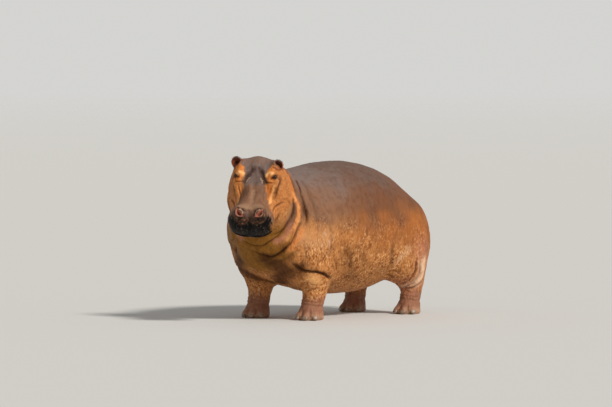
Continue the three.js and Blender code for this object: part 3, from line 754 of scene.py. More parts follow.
markings = {
    # places on the head in millimetres and, after "row", places from the floor and the spine
    "eyePatch": [(-92, 132, 0), (-50, 140, 4), (10, 140, -6), (70, 138, -40), (130, 136, -84),
                 (186, 132, -112)],
    "cheekBand": [(-168, 216, -60), (-145, 240, -110), (-98, 278, -153), (-43, 303, -200), (12, 318, -248)],
    "jowlBand": [(-4, 306, -214), (29, 331, -285), (63, 355, -354), (96, 360, -399), (141, 354, -426),
                 (200, 328, -452), (253, 300, -486), (301, 263, -513)],
    "earFoot": [(-104, 148, 8), (-94, 164, -1), (-88, 182, -10), (-96, 198, -23), (-122, 211, -39)],
    "browDark": [(-92, 32, -8), (-54, 48, -13), (-15, 65, -17), (22, 82, -23), (44, 92, -24)],
    "farPatch": [(34, 128, -30), (84, 136, -58), (140, 138, -92), (190, 150, -128)],
    "browPale": [(4, 47, -24), (28, 58, -28), (50, 74, -32)],
    "lidPale": [(-16, 104, -3), (-30, 124, 6), (-26, 150, 12)],
    "eyeCorner": [(20, 96, -16), (10, 112, -8)],
    "bagDark": [(34, 84, -26), (60, 108, -22), (72, 138, -24), (62, 172, -30), (34, 198, -36)],
    "besideDark": [(-46, 210, -32), (-6, 220, -44), (48, 211, -56), (90, 200, -76), (134, 184, -115)],
    "palePouch": [(56, 180, -48), (86, 174, -62), (121, 160, -91), (167, 142, -116), (207, 138, -122)],
    "jowlDark": [(40, 318, -262), (80, 322, -310), (128, 316, -350), (195, 284, -385), (251, 238, -412),
                 (297, 176, -430)],
    "jowlPink": [(206, 300, -405), (243, 279, -443), (268, 257, -472), (297, 230, -484), (327, 181, -500)],
    "lipDark": [(192, 224, -246), (230, 205, -269), (264, 184, -299)],
    "lipShade": [(272, 182, -232), (268, 184, -275), (268, 190, -325)],
    "rowNeckDark": [(-0.515, 0.325, 1.255), (-0.555, 0.365, 1.235), (-0.585, 0.404, 1.197),
                    (-0.566, 0.425, 1.136), (-0.550, 0.442, 1.074), (-0.540, 0.456, 1.012),
                    (-0.530, 0.464, 0.951), (-0.530, 0.474, 0.895)],
    "rowNeckBand": [(-0.60, 0.452, 0.80), (-0.612, 0.447, 0.759), (-0.641, 0.427, 0.707),
                    (-0.662, 0.397, 0.654)],
    "rowThroatDark": [(-0.66, 0.42, 0.74), (-0.70, 0.375, 0.665), (-0.735, 0.315, 0.61),
                      (-0.765, 0.26, 0.582), (-0.81, 0.21, 0.592), (-0.85, 0.16, 0.62)],
    "rowChestDark": [(-0.77, 0.20, 0.545), (-0.68, 0.26, 0.49), (-0.60, 0.32, 0.445), (-0.53, 0.40, 0.463)],
    "rowBrisket": [(-0.62, 0.28, 0.42), (-0.56, 0.17, 0.38), (-0.47, 0.08, 0.336)],
    "rowFlankDark": [(0.10, 0.51, 0.62), (0.16, 0.51, 0.54), (0.22, 0.49, 0.47)],
    "rowBellyDark": [(0.38, 0.455, 0.44), (0.47, 0.435, 0.43), (0.55, 0.42, 0.42)],
    "rowFlankPale": [(0.79, 0.464, 0.60), (0.718, 0.444, 0.538), (0.663, 0.421, 0.485)],
    "rowArmpit": [(-0.60, 0.37, 0.49), (-0.53, 0.40, 0.455), (-0.44, 0.437, 0.446), (-0.33, 0.45, 0.425),
                  (-0.21, 0.42, 0.385)],
    "rowElbow": [(-0.042, 0.50, 0.601), (0.024, 0.46, 0.482), (0.108, 0.405, 0.388)],
    "rowThighRoll": [(0.98, 0.465, 0.58), (0.988, 0.457, 0.50), (0.995, 0.445, 0.44), (0.995, 0.43, 0.37),
                     (0.975, 0.40, 0.31), (0.93, 0.37, 0.272), (0.88, 0.32, 0.25)],
    "rowThighInner": [(0.92, 0.458, 0.48), (0.926, 0.44, 0.39), (0.91, 0.42, 0.335), (0.885, 0.362, 0.285)],
    "rowThighLow": [(0.985, 0.41, 0.33), (0.93, 0.37, 0.268), (0.87, 0.31, 0.25)],
    "rowForearm": [(-0.42, 0.41, 0.38), (-0.36, 0.42, 0.34)],
    "rowShine": [(-0.345, 0.50, 0.79), (-0.33, 0.505, 0.755), (-0.29, 0.503, 0.695), (-0.28, 0.50, 0.66)],
    "rowShoulder": [(-0.56, 0.47, 0.74), (-0.44, 0.49, 0.70), (-0.30, 0.505, 0.73)],
}


# Which lines paint each mask: the line, how strongly, how wide and how freely its edge wanders,
# then how much of it the left and right side have, and how far in its ends fade.
stripes = {
    "orange": [("cheekBand", 0.95, 0.034, "loose"), ("jowlBand", 0.85, 0.030, "loose"),
               ("rowNeckBand", 0.75, 0.045, "looser")],
    # Painted light: highlights on the lids, the pouches under the eyes and the jowl's edge, and light on top
    # of the forearm; the lids are a little paler too.
    "glow": [("lidPale", 1.0, 0.024, "loose"), ("palePouch", 0.8, 0.013, "loose"),
             ("jowlBand", 0.55, 0.022, "loose"), ("rowForearm", 0.72, 0.062, "loose")],
    # Mostly painted shade: under the throat, on the chest, between the forelegs, above the forearm, along the
    # belly, in the neck's crease and in the face's folds, with some of the skin's own darker patches.
    "smudge": [("rowArmpit", 0.5, 0.026, "loose"), ("rowElbow", 0.55, 0.085, "looser"),
               ("rowChestDark", 0.85, 0.100, "looser"), ("rowBrisket", 0.95, 0.100, "looser"),
               ("rowFlankDark", 0.35, 0.070, "looser"), ("rowBellyDark", 0.38, 0.060, "looser"),
               ("bagDark", 0.35, 0.009, "loose", (1, 1), 0.2),
               ("besideDark", 0.78, 0.019, "loose", (1, 1), 0.2),
               ("jowlDark", 0.42, 0.018, "loose", (1, 1), 0.2),
               ("lipDark", 0.7, 0.014, "loose", (1, 1), 0.2),
               ("lipShade", 0.55, 0.034, "loose", (1, 1), 0.2),
               ("rowNeckDark", 1.7, 0.030, "loose", (1, 0.3), 0.2),
               ("rowThroatDark", 0.9, 0.032, "loose", (1, 0.6), 0.2)],
    # The thigh's pale pink folds, painted brighter as if lit.
    "thigh": [("rowThighRoll", 1.0, 0.056, "looser", (1, 0.5), 0.22),
              ("rowThighInner", 0.45, 0.034, "looser", (1, 0.5)),
              ("rowThighLow", 0.6, 0.034, "looser", (1, 0.5))],
    # Paler skin, with painted highlights on the brow's folds and a painted wet sheen on the shoulder.
    "pale": [("browPale", 0.6, 0.007, "loose"), ("rowShoulder", 0.26, 0.13, "loose"),
             ("rowFlankPale", 0.36, 0.055, "loose"), ("rowShine", 0.5, 0.016, "loose")],
    "pink": [("jowlPink", 0.8, 0.032, "loose"), ("rowThighRoll", 0.7, 0.12, "looser", (1, 0.7))],
    "browDark": [("browDark", 1.4, 0.028, "loose")],
    "browBlack": [("browDark", 0.52, 0.018, "loose"), ("eyeCorner", 0.34, 0.016, "still")],
    "eyePatch": [("eyePatch", 1.0, 0.038, "loose")],
    # Painted light that lifts the far side of the face out of shade.
    "farPatch": [("farPatch", 0.42, 0.034, "loose", (0, 1))],
    "earFoot": [("earFoot", 0.8, 0.014, "loose", (1, 0.4))],
    "neckBand": [("rowNeckBand", 1.0, 0.06, "still")],
}


# Moves each point a little, so that no marking has a ruled edge.
def wandering(co, size, amount):
    return co + np.stack([noiseAt(co, size, seed, 3) for seed in (31, 32, 33)], axis=1) * amount


hideTree = BVHTree.FromObject(skin, bpy.context.evaluated_depsgraph_get())


# A marking's mask along a line laid on the skin.
def marked(co, name, width, sides=(1, 1), fade=0.0):
    mask = np.zeros(len(co))
    for side, amount in zip((1, -1), sides):
        line = bodyLine(markings[name], -side) if name.startswith("row") else headLine(markings[name], side)
        laid = [hideTree.find_nearest(Vector(place))[0] for place in line]
        mask = most(mask, amount * streak(co, laid, width, fade))
    return mask


def stripeMasks(co):
    spread = {"still": co, "loose": wandering(co, 0.045, 0.014), "looser": wandering(co, 0.09, 0.030)}
    return {mask: most(*(amount * marked(spread[how], line, width, *rest)
                         for line, amount, width, how, *rest in rows)) for mask, rows in stripes.items()}


# Where the hide is warm, dark, pink, pale or wet, and where light and shade are painted on it, as values from
# 0 to 1 on the skin's points.
def paintMasks(obj):
    mesh = obj.data
    co = readCo(mesh)
    x, _, z = co.T
    place = headPlaces(co)
    along, across, up = place.T
    off = np.abs(across)
    drift = noiseAt(co, 0.20, 4, 3)
    ragged = noiseAt(co, 0.030, 5, 2)
    onHead = within(place, (140, 0, -170), (470, 350, 320), 0.88, 1.08)
    stripe = stripeMasks(co)

    half = 85 + 0.0019 * (along - 20) ** 2 + 12 * ragged
    dorsal = (1 - rise(off, half - 12, half + 12)) * onHead * rise(up, -150, -90)
    lowLegs = 1 - rise(z + 0.05 * drift, 0.10, 0.30)
    warm = np.clip((1.36 - z) / 0.66 + 0.12 * rise(x, 0.2, 1.1) + 0.20 * drift, 0, 1) * (1 - 0.45 * lowLegs)
    nape = (1 - rise(off, 175, 235)) * (1 - rise(along, -170, -95))
    sideFace = (1 - dorsal) * (1 - nape)
    headWarm = 0.86 * sideFace + 0.46 * dorsal * rise(along, 30, 110) + 0.2 * nape
    warm = warm * (1 - onHead) + headWarm * onHead
    orange = most(stripe["eyePatch"] * (1 - dorsal), stripe["orange"],
                  0.42 * sideFace * onHead * rise(up, -330, -230))

    edge = 446 - 44 * (off / 183) ** 2 + 40 * ragged
    snout = rise(along - edge, -34, 26) * (1 - rise(off + 26 * ragged, 148, 212))
    snout = snout * rise(up, -262, -240) * onHead
    belowNostrils = 1 - rise(up + 14 * ragged - 0.45 * np.maximum(off - 70, 0), -104, -36)
    muzzle = snout * np.maximum(belowNostrils, 0.25)
    brow = (1 - rise(off, 36, 80)) * rise(up, -90, -20) * onHead
    brow = brow * rise(along, -130, -60) * (1 - rise(along, 40, 110))
    snoutSides = rise(off, 26, 48) * (1 - rise(off, 84, 108))
    snoutSides = snoutSides * rise(along, 50, 90) * (1 - rise(along, 150, 280))
    nostril = np.minimum(*(np.linalg.norm(co - centre, axis=1) for centre in nostrilPlaces))
    around = rise(along + 34 * ragged, 350, 398) * rise(up, -80, -40) * (1 - rise(off, 134, 172))
    tail = np.minimum(1, 1.5 * streak(co, tailLine[1:], 0.06))
    brow = most(0.45 * brow, 0.45 * snoutSides * dorsal, stripe["browDark"], 0.6 * tail,
                (1.0 + 0.6 * ragged) * around * onHead)
    nostrilRing = np.exp(-((nostril - 0.042) / 0.012) ** 2) * onHead
    # The muzzle's front is painted near-black: painted shade under the downturned muzzle, over its dark wet
    # skin.
    dark = most(1.25 * muzzle, stripe["browBlack"], (0.34 + 0.7 * ragged) * nostrilRing)
    speckRing = np.exp(-((nostril - 0.044) / 0.016) ** 2) * onHead
    spots = most(snout * (1 - 0.6 * belowNostrils), 0.75 * speckRing)
    # Painted shade on the rump's rear edge, and the dark skin by the nostrils.
    smudge = most(stripe["smudge"], 0.5 * snout * (1 - belowNostrils),
                  0.30 * rise(x + 0.1 * drift, 0.90, 1.10) * rise(z, 0.40, 0.60))

    beforeNostrils = rise(along, 230, 310) * (1 - rise(along, 346, 380)) * rise(up, -50, -14)
    pads = beforeNostrils * (1 - rise(off, 100, 140)) * onHead
    bridge = (1 - rise(off + 8 * ragged, 4, 44)) * rise(along, 90, 130) * onHead * rise(up, -60, -40)
    thigh = stripe["thigh"] * (0.86 + 0.5 * ragged)
    # Painted light: highlights, and the far side of the face made brighter.
    glow = most(stripe["glow"], stripe["farPatch"] * (1 - dorsal))
    pink = most(stripe["pink"], 0.35 * lowLegs)
    inner = np.empty(len(co), np.float32)
    mesh.attributes["inner"].data.foreach_get("value", inner)
    rim = np.exp(-((nostril - 0.031) / 0.006) ** 2) * onHead * (1 - inner)
    # Paler skin on the nose pads, the bridge, the nostrils' rims and the soles; the thigh's pale pink folds
    # are painted brighter as if lit, and the brow and shoulder marks are painted highlights.
    pale = most(stripe["pale"], 0.27 * pads, 0.26 * bridge * (1 - snout) * (1 - around), thigh, 0.55 * rim,
                0.35 * (1 - rise(z, 0.02, 0.12)))

    ear, bowl = 0.0, 0.0
    for centre, mouth in zip(earPlaces, earMouths):
        ear = np.maximum(ear, 1 - rise(np.linalg.norm(co - centre, axis=1) + 0.008 * ragged, 0.046, 0.066))
        deep = centre + np.array(mouth) @ headTurn * 0.012
        bowl = np.maximum(bowl, within(co, deep, 1, 0.028, 0.040))
    ear = most(ear, stripe["earFoot"])
    # The lids' dark rims, with painted shade in the gap between lid and eyeball.
    eyeRim = most(*(within(co, centre, 1, 0.0235, 0.0285) for centre in eyePlaces))
    # Olive-brown on the chest and under the chin: the skin's brown with painted greenish bounce light.
    chest = rise(-x + 0.10 * drift, 0.60, 0.72) * (1 - rise(z, 0.78, 0.92)) * (1 - stripe["neckBand"])
    chin = onHead * (1 - rise(up, -400, -330)) * rise(along, 180, 280)
    olive = most(chest, chin) * (1 - pink)
    rear = rise(x + 0.2 * drift, -0.50, 0.45) * (1 - thigh) * rise(z + 0.1 * drift, 0.46, 0.80)

    low = (1 - rise(z + 0.25 * drift, 0.50, 1.06)) * (1 - onHead) * (1 - 0.85 * olive) * (1 - 0.35 * thigh)
    low *= 0.35 + 0.65 * rise(z, 0.10, 0.24)
    # Where flecks go: the skin's dark flecks and painted glints on its wrinkles.
    speckle = most(low * (1 - 0.4 * rear), 0.35 * onHead * rise(off, 110, 170) * (1 - muzzle))
    masks = dict(warm=warm, orange=orange, dark=dark * (1 - inner), brow=brow, smudge=smudge, pale=pale,
                 glow=glow, spots=spots, pink=pink, ear=ear, bowl=bowl, eyeRim=eyeRim, olive=olive,
                 speckle=speckle, rear=rear, face=onHead, wet=snout + 0.5 * around)
    for name, values in masks.items():
        addMask(mesh, name, values)
    print("markings painted")


paintMasks(skin)

# Materials.


# A socket that adds Math nodes when it is used in an expression.
class Wire:
    def __init__(self, paint, socket):
        self.paint = paint
        self.socket = socket

    def math(self, operation, *values):
        return self.paint.wire("ShaderNodeMath", {"operation": operation}, dict(enumerate(values)))

    def __add__(self, other):
        return self.math("ADD", self, other)

    def __mul__(self, other):
        return self.math("MULTIPLY", self, other)

    def __sub__(self, other):
        return self.math("SUBTRACT", self, other)

    def __rsub__(self, other):
        return self.math("SUBTRACT", other, self)

    __radd__ = __add__
    __rmul__ = __mul__


# The nodes of a material or of the world.
class Paint:
    def __init__(self, owner):
        owner.use_nodes = True
        self.owner = owner
        self.tree = owner.node_tree
        self.tree.nodes.clear()
        self.place = None

    # Adds a node: its settings are set first, then its sockets' values or links.
    def add(self, kind, settings=None, sockets=None):
        node = self.tree.nodes.new(kind)
        for name, value in (settings or {}).items():
            if name == "stops":
                ramp = node.color_ramp.elements
                while len(ramp) < len(value):
                    ramp.new(0.5)
                for element, (position, colour) in zip(ramp, value):
                    element.position = position
                    element.color = colour
            else:
                setattr(node, name, value)
        for name, value in (sockets or {}).items():
            if isinstance(value, Wire):
                self.tree.links.new(value.socket, node.inputs[name])
            elif value is not None:
                node.inputs[name].default_value = value
        return node

    def wire(self, kind, settings=None, sockets=None, output=0):
        return Wire(self, self.add(kind, settings, sockets).outputs[output])

    # The place, bent a little so that patterns have no straight lines.
    def bent(self, scale, amount):
        bend = self.wire("ShaderNodeTexNoise", {}, {"Vector": self.place, "Scale": scale}, "Color")
        return self.wire("ShaderNodeVectorMath", {"operation": "MULTIPLY_ADD"},
                         {0: bend, 1: (amount, amount, amount), 2: self.place})

    def mask(self, name):
        return self.wire("ShaderNodeAttribute", {"attribute_name": name}, output="Fac")

    def stretched(self, scale):
        return self.wire("ShaderNodeMapping", {"vector_type": "POINT"},
                         {"Vector": self.place, "Scale": scale})

    # The place in a turned frame, with the pattern drawn out along its axes.
    def turned(self, turn, stretch):
        return self.wire("ShaderNodeMapping", {"vector_type": "TEXTURE"},
                         {"Vector": self.place, "Rotation": turn, "Scale": stretch})

    def noise(self, scale, detail=3, rough=0.55, where=None):
        return self.wire("ShaderNodeTexNoise", {}, {"Vector": where or self.place, "Scale": scale,
                                                    "Detail": detail, "Roughness": rough}, "Fac")

    def cells(self, scale, where=None, feature="DISTANCE_TO_EDGE"):
        return self.wire("ShaderNodeTexVoronoi", {"feature": feature},
                         {"Vector": where or self.place, "Scale": scale}, "Distance")

    # 0 below low and 1 above high, with soft ends.
    def step(self, value, low, high):
        return self.wire("ShaderNodeMapRange", {"interpolation_type": "SMOOTHSTEP"},
                         {"Value": value, "From Min": low, "From Max": high})

    def mix(self, share, first, second, blend="MIX"):
        return self.wire("ShaderNodeMix", {"data_type": "RGBA", "blend_type": blend, "clamp_factor": True},
                         {0: share, 6: first, 7: second}, 2)

    def bump(self, height, strength, distance, normal=None):
        return self.wire("ShaderNodeBump", {}, {"Height": height, "Strength": strength, "Distance": distance,
                                                "Normal": normal})

    def finish(self, shader, normal=None):
        body = self.wire("ShaderNodeBsdfPrincipled", {}, {**shader, "Normal": normal})
        self.add("ShaderNodeOutputMaterial", {}, {"Surface": body})
        return self.owner


def newPaint(name):
    paint = Paint(bpy.data.materials.new(name))
    paint.place = paint.wire("ShaderNodeTexCoord", output="Object")
    return paint


# A colour as it looks on a screen, from 0 to 255, turned into light.
def tone(red, green, blue):
    light = [(c / 255) / 12.92 if c <= 10 else ((c / 255 + 0.055) / 1.055) ** 2.4 for c in (red, green, blue)]
    return (*light, 1)


faceTurn = Matrix((nose, headLeft, headUp)).transposed().to_euler()

hideColours = {
    "grey": tone(124, 105, 98),
    "brown": tone(136, 97, 72),
    "tan": tone(194, 130, 74),
    "rear": tone(222, 204, 190),  # multiplies the hind part
    # the blotches are the hide's own mottling; in the fine cracks it is painted shade
    "shade": tone(176, 158, 148),  # multiplies the blotches and the fine cracks
    # painted glints on the fine wrinkles
    "glintFleck": tone(240, 190, 136),
    "fleckDark": tone(172, 140, 112),
    "orange": tone(234, 146, 74),
    "orangeDeep": tone(196, 108, 46),
    "brow": tone(82, 60, 52),
    "black": tone(9, 6, 5),
    # painted shade, with some of the skin's own darker patches
    "smudge": tone(76, 42, 18),
    "pink": tone(180, 118, 98),
    "flesh": tone(176, 104, 84),
    "cream": tone(242, 206, 170),
    # painted light: highlights on the lids, pouches and jowl's edge, light on the forearm and the far side of
    # the face
    "glow": tone(252, 190, 124),  # lids, pouches under the eyes, the jowl's edge and the forearm
    # the skin's brown with painted greenish bounce light
    "olive": tone(144, 96, 34),
    "ear": tone(116, 54, 30),
    "bowl": tone(52, 16, 9),
    # painted shade in grooves and hollows
    "crease": tone(50, 26, 14),
}


def hideMaterial():
    paint = newPaint("hide")
    colours = hideColours
    face = paint.mask("face")
    tall = paint.stretched((1, 1, 0.38))
    downFace = paint.turned(faceTurn, (2.6, 1, 1))
    cloud = paint.noise(5.5, 4, 0.6)
    body = 1 - face
    blotch = paint.noise(26, 4, 0.62, tall) * body + paint.noise(30, 5, 0.66, downFace) * face
    bodyFleck = paint.noise(62, 3, 0.66, paint.stretched((1, 1, 0.62)))
    fleck = bodyFleck * body + paint.noise(90, 3, 0.66, downFace) * face
    grain = paint.noise(240, 2, 0.6)
    mottle = (blotch - 0.5) * 0.6 + (fleck - 0.5) * 0.5
    crackle = paint.cells(120, paint.bent(40, 0.012))
    pores = paint.cells(330, feature="F1")

    # Lays colours where masks are, with edges that the mottling breaks up. Each row has the mask,
    # the mottling's share, where the colour starts and is full, how much it covers, and the colour.
    def laid(base, rows):
        for name, broken, low, high, cover, colour in rows:
            share = paint.step(paint.mask(name) + mottle * broken, low, high) * cover
            base = paint.mix(share, base, colours[colour])
        return base

    warm = paint.mask("warm") + (cloud - 0.5) * 0.22 + (blotch - 0.5) * 0.16
    base = paint.mix(paint.step(warm, 0.02, 0.55), colours["grey"], colours["brown"])
    base = paint.mix(paint.step(warm, 0.5, 1.0), base, colours["tan"])
    orange = paint.mix(paint.step(blotch, 0.38, 0.62), colours["orangeDeep"], colours["orange"])
    base = paint.mix(paint.step(paint.mask("orange") + mottle, 0.1, 0.85) * 0.95, base, orange)
    # Painted greenish bounce light on the chest and under the chin.
    base = paint.mix(paint.mask("olive"), base, colours["olive"])
    rear = paint.step(paint.mask("rear") + mottle * 0.5, 0.0, 1.0)
    base = paint.mix(rear, base, colours["rear"], "MULTIPLY")
    patchy = 0.30 + 0.35 * paint.mask("speckle") + 0.12 * face
    base = paint.mix(paint.step(blotch, 0.44, 0.66) * patchy, base, colours["shade"], "MULTIPLY")
    speckle = paint.mask("speckle") * (0.5 + 0.5 * paint.step(cloud, 0.38, 0.58))
    base = paint.mix(speckle * (1 - paint.step(fleck, 0.36, 0.50)), base, colours["fleckDark"], "MULTIPLY")
    # Painted highlights: light flecks where light would catch on the fine wrinkles.
    base = paint.mix(speckle * paint.step(fleck, 0.53, 0.66) * paint.step(warm, 0.35, 0.9) * 0.85, base,
                     colours["glintFleck"])
    base = paint.mix(paint.mask("pink") * 0.8, base, colours["pink"])
    # Painted light, the brow's dark marks, paler skin with painted highlights, and painted shade.
    base = laid(base, [("glow", 0.5, 0.1, 1.0, 0.85, "glow"), ("brow", 0.6, 0.0, 1.1, 0.85, "brow"),
                       ("pale", 0.5, 0.05, 0.95, 0.85, "cream"), ("smudge", 0.7, 0.0, 1.0, 0.92, "smudge")])
    # On the snout: tan spots are painted glints of wet skin, black spots are dark skin.
    spots = paint.mask("spots")
    spotNoise = paint.noise(44, 4, 0.6)
    base = paint.mix(spots * paint.step(spotNoise, 0.60, 0.68) * 0.5, base, colours["tan"])
    base = paint.mix(spots * (1 - paint.step(spotNoise, 0.42, 0.56)) * 0.85, base, colours["black"])
    # Near-black: painted shade over the muzzle's dark wet skin, the brow's dark marks and the nostrils' dark
    # rings.
    base = laid(base, [("dark", 0.8, 0.15, 0.85, 1.0, "black"), ("ear", 0.6, 0.1, 0.9, 0.9, "ear")])
    # The ears' dark bowls, the nostrils' red flesh, and painted shade at the lids' rims and in the grooves.
    for name, cover, colour in (("bowl", 0.95, "bowl"), ("inner", 0.85, "flesh"),
                                ("eyeRim", 0.85, "crease"), ("crease", 0.75, "crease")):
        base = paint.mix(paint.mask(name) * cover, base, colours[colour])
    # Painted shade in the fine cracks.
    base = paint.mix((1 - paint.step(crackle, 0.0, 0.10)) * 0.18, base, colours["shade"], "MULTIPLY")

    wet = paint.mask("wet")
    roughness = 0.58 + (grain - 0.5) * 0.22 - wet * 0.20
    folds = paint.noise(30, 5, 0.62, tall)
    normal = paint.bump(folds * (1 - face * 0.4) + fleck * face * 0.4, 0.6, 0.011)
    normal = paint.bump(paint.step(crackle, 0.0, 0.14), 0.2, 0.0016, normal)
    normal = paint.bump(grain + pores * 0.5, 0.25, 0.0011, normal)
    return paint.finish({"Base Color": base, "Roughness": roughness, "Metallic": 0.0,
                         "Specular IOR Level": 0.10, "Coat Weight": wet * 0.02,
                         "Coat Roughness": 0.2}, normal)


def eyeMaterial():
    paint = newPaint("wetEye")
    away = paint.mask("iris")
    streaks = paint.noise(900, 2, 0.6)
    colour = paint.wire("ShaderNodeValToRGB", {"stops": [(0.0, tone(4, 3, 3)), (0.28, tone(5, 4, 3)),
                                                         (0.34, tone(50, 28, 15)), (0.52, tone(62, 36, 19)),
                                                         (0.58, tone(18, 11, 8)), (0.70, tone(52, 32, 26)),
                                                         (1.0, tone(84, 52, 44))]}, {"Fac": away})
    colour = paint.mix(streaks * 0.4, colour, tone(20, 10, 6))
    return paint.finish({"Base Color": colour, "Roughness": 0.12, "Metallic": 0.0, "Specular IOR Level": 0.2,
                         "Coat Weight": 0.15, "Coat Roughness": 0.03})


def nailMaterial():
    paint = newPaint("horn")
    layers = paint.noise(60, 3, 0.6, paint.stretched((0.4, 0.4, 4.0)))
    grain = paint.noise(260, 2, 0.6)
    colour = paint.mix(paint.step(layers, 0.35, 0.65), tone(104, 84, 72), tone(164, 138, 116))
    colour = paint.mix(paint.step(grain, 0.55, 0.75) * 0.4, colour, tone(190, 166, 140))
    normal = paint.bump(layers + grain * 0.3, 0.4, 0.0015)
    roughness = 0.42 + (grain - 0.5) * 0.2
    return paint.finish({"Base Color": colour, "Roughness": roughness, "Metallic": 0.0}, normal)


def bristleMaterial(name, root, tip):
    paint = newPaint(name)
    shade = paint.noise(140, 2, 0.5)
    colour = paint.mix(paint.step(shade, 0.35, 0.65), root, tip)
    return paint.finish({"Base Color": colour, "Roughness": 0.45, "Metallic": 0.0})


skin.data.materials.clear()
skin.data.materials.append(hideMaterial())
fleshNodes = [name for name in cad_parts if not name.startswith("eye_") and "nail" not in name]
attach(skin, "root")
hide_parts(*sorted(fleshNodes))

# Eyeballs.

eyeball = {"segments": 40, "rings": 28, "corneaHalf": 0.55, "corneaRise": 0.0011}


def makeEyeball(side, material):
    centre, gaze, brow, front = eyeFrame(side)
    name = "left" if side > 0 else "right"
    turn = Matrix((front, brow, gaze)).transposed().to_4x4()
    bm = bmesh.new()
    bmesh.ops.create_uvsphere(bm, u_segments=eyeball["segments"], v_segments=eyeball["rings"],
                              radius=eyeSetup["radius"])
    layer = bm.verts.layers.float.new("iris")
    for vert in bm.verts:
        angle = vert.co.angle(Vector((0, 0, 1)))
        stretch = Vector((vert.co.x * 0.86, vert.co.y, 0)).length / eyeSetup["radius"]
        vert[layer] = min(1.0, stretch if angle < math.pi / 2 else 1.0)
        bulge = max(0.0, 1 - (angle / eyeball["corneaHalf"]) ** 2)
        vert.co += vert.co.normalized() * eyeball["corneaRise"] * bulge
    bmesh.ops.transform(bm, matrix=Matrix.Translation(Vector(centre)) @ turn, verts=bm.verts)
    bmesh.ops.recalc_face_normals(bm, faces=bm.faces)
    for face in bm.faces:
        face.smooth = True
    piece = newObject(f"eyeball_{name}", bm)
    piece.data.materials.append(material)
    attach(piece, "root")
    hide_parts(f"eye_{name}")


wetEye = eyeMaterial()
for side in (1, -1):
    makeEyeball(side, wetEye)
print("eyeballs made")

# Nails.

nailSetup = {
    "halfThick": 0.0130,
    "halfWide": 0.0250,
    "halfHigh": 0.0225,
    "lean": 20,  # degrees back from upright
    "inset": 0.0015,
    "floorGap": 0.004,
}


def addNail(bm, foot, node):
    middle = centreOf(node)
    out = Vector((middle.x - foot.x, middle.y - foot.y, 0)).normalized()
    new = bmesh.ops.create_uvsphere(bm, u_segments=20, v_segments=14, radius=1)["verts"]
    for vert in new:
        x, y, z = vert.co
        x = math.copysign(abs(x) ** 0.62, x) * (1 - 0.16 * z)  # a flat front, thicker below
        x *= 1 + 0.035 * math.sin(z * 13)  # rings of growth
        y = math.copysign(abs(y) ** 0.84, y)
        z = math.copysign(abs(z) ** 0.80, z) if z < 0 else z
        vert.co = Vector((x * nailSetup["halfThick"], y * nailSetup["halfWide"], z * nailSetup["halfHigh"]))
    facing = Matrix.Rotation(math.atan2(out.y, out.x), 4, "Z")
    leaning = Matrix.Rotation(-math.radians(nailSetup["lean"]), 4, "Y")
    place = Matrix.Translation(middle - out * nailSetup["inset"])
    bmesh.ops.transform(bm, matrix=place @ facing @ leaning, verts=new)
    for vert in new:
        vert.co.z = max(vert.co.z, nailSetup["floorGap"])


horn = nailMaterial()
for footName, foot in feet.items():
    nails = bmesh.new()
    names = nailNames(footName)
    for node in names:
        addNail(nails, foot, node)
    for face in nails.faces:
        face.smooth = True
    piece = newObject(f"nails_{footName}", nails)
    piece.data.materials.append(horn)
    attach(piece, "root")
    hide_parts(*names)
print("nails made")

# Bristles.

# One bent, tapering bristle of unit length along +Z.
def bristleShape(sides, bend):
    bm = bmesh.new()
    made = bmesh.ops.create_cone(bm, cap_ends=True, segments=sides, radius1=1, radius2=0.25, depth=1)
    bmesh.ops.translate(bm, verts=made["verts"], vec=(0, 0, 0.5))
    long = [edge for edge in bm.edges if abs(edge.verts[0].co.z - edge.verts[1].co.z) > 0.5]
    bmesh.ops.subdivide_edges(bm, edges=long, cuts=2)
    mesh = bpy.data.meshes.new("bristle")
    bm.to_mesh(mesh)
    bm.free()
    return mesh, bend


# One bristle's patch on the bake map.
patchHalfWide = 0.0015
patchTall = 0.003


# Sets bristles on the skin. Each root is a place, the way it grows, its length and its thickness.
def plantBristles(name, roots, shape, material, unwrap):
    mesh, bend = shape
    bm = bmesh.new()
    uv = bm.loops.layers.uv.new("OFBake")
    for root, direction, length, radius in roots:
        firstVert, firstFace = len(bm.verts), len(bm.faces)
        bm.from_mesh(mesh)
        bm.verts.ensure_lookup_table()
        bm.faces.ensure_lookup_table()
        new, faces = bm.verts[firstVert:], bm.faces[firstFace:]
        patch = unwrap(root)
        for face in faces:
            for loop in face.loops:
                local = loop.vert.co
                loop[uv].uv = (patch[0] + patchHalfWide * (1 + local.x), patch[1] + patchTall * local.z)
        for vert in new:
            vert.co.x = vert.co.x * radius + bend * length * vert.co.z ** 2
            vert.co.y *= radius
            vert.co.z *= length
        turn = direction.to_track_quat("Z", "X").to_matrix().to_4x4()
        bmesh.ops.transform(bm, matrix=Matrix.Translation(root - direction * 0.002) @ turn, verts=new)
    piece = newObject(name, bm)
    piece.data.materials.append(material)
    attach(piece, "root")
    print(name, len(roots), "bristles")


whiskerSetup = {"clumps": 64, "clumpHalf": 0.0018, "length": 0.018, "radius": 0.00045}


def wobble(pick, size):
    return Vector([pick.uniform(-size, size) for _ in range(3)])


def headUnwrap(root):
    along, across, up = headPlaces(np.array([root[:]]))[0]
    return 0.5 + math.atan2(across, up + 150) / (2 * math.pi) * 0.98, min(0.99, max(0.0, (along + 300) / 850))


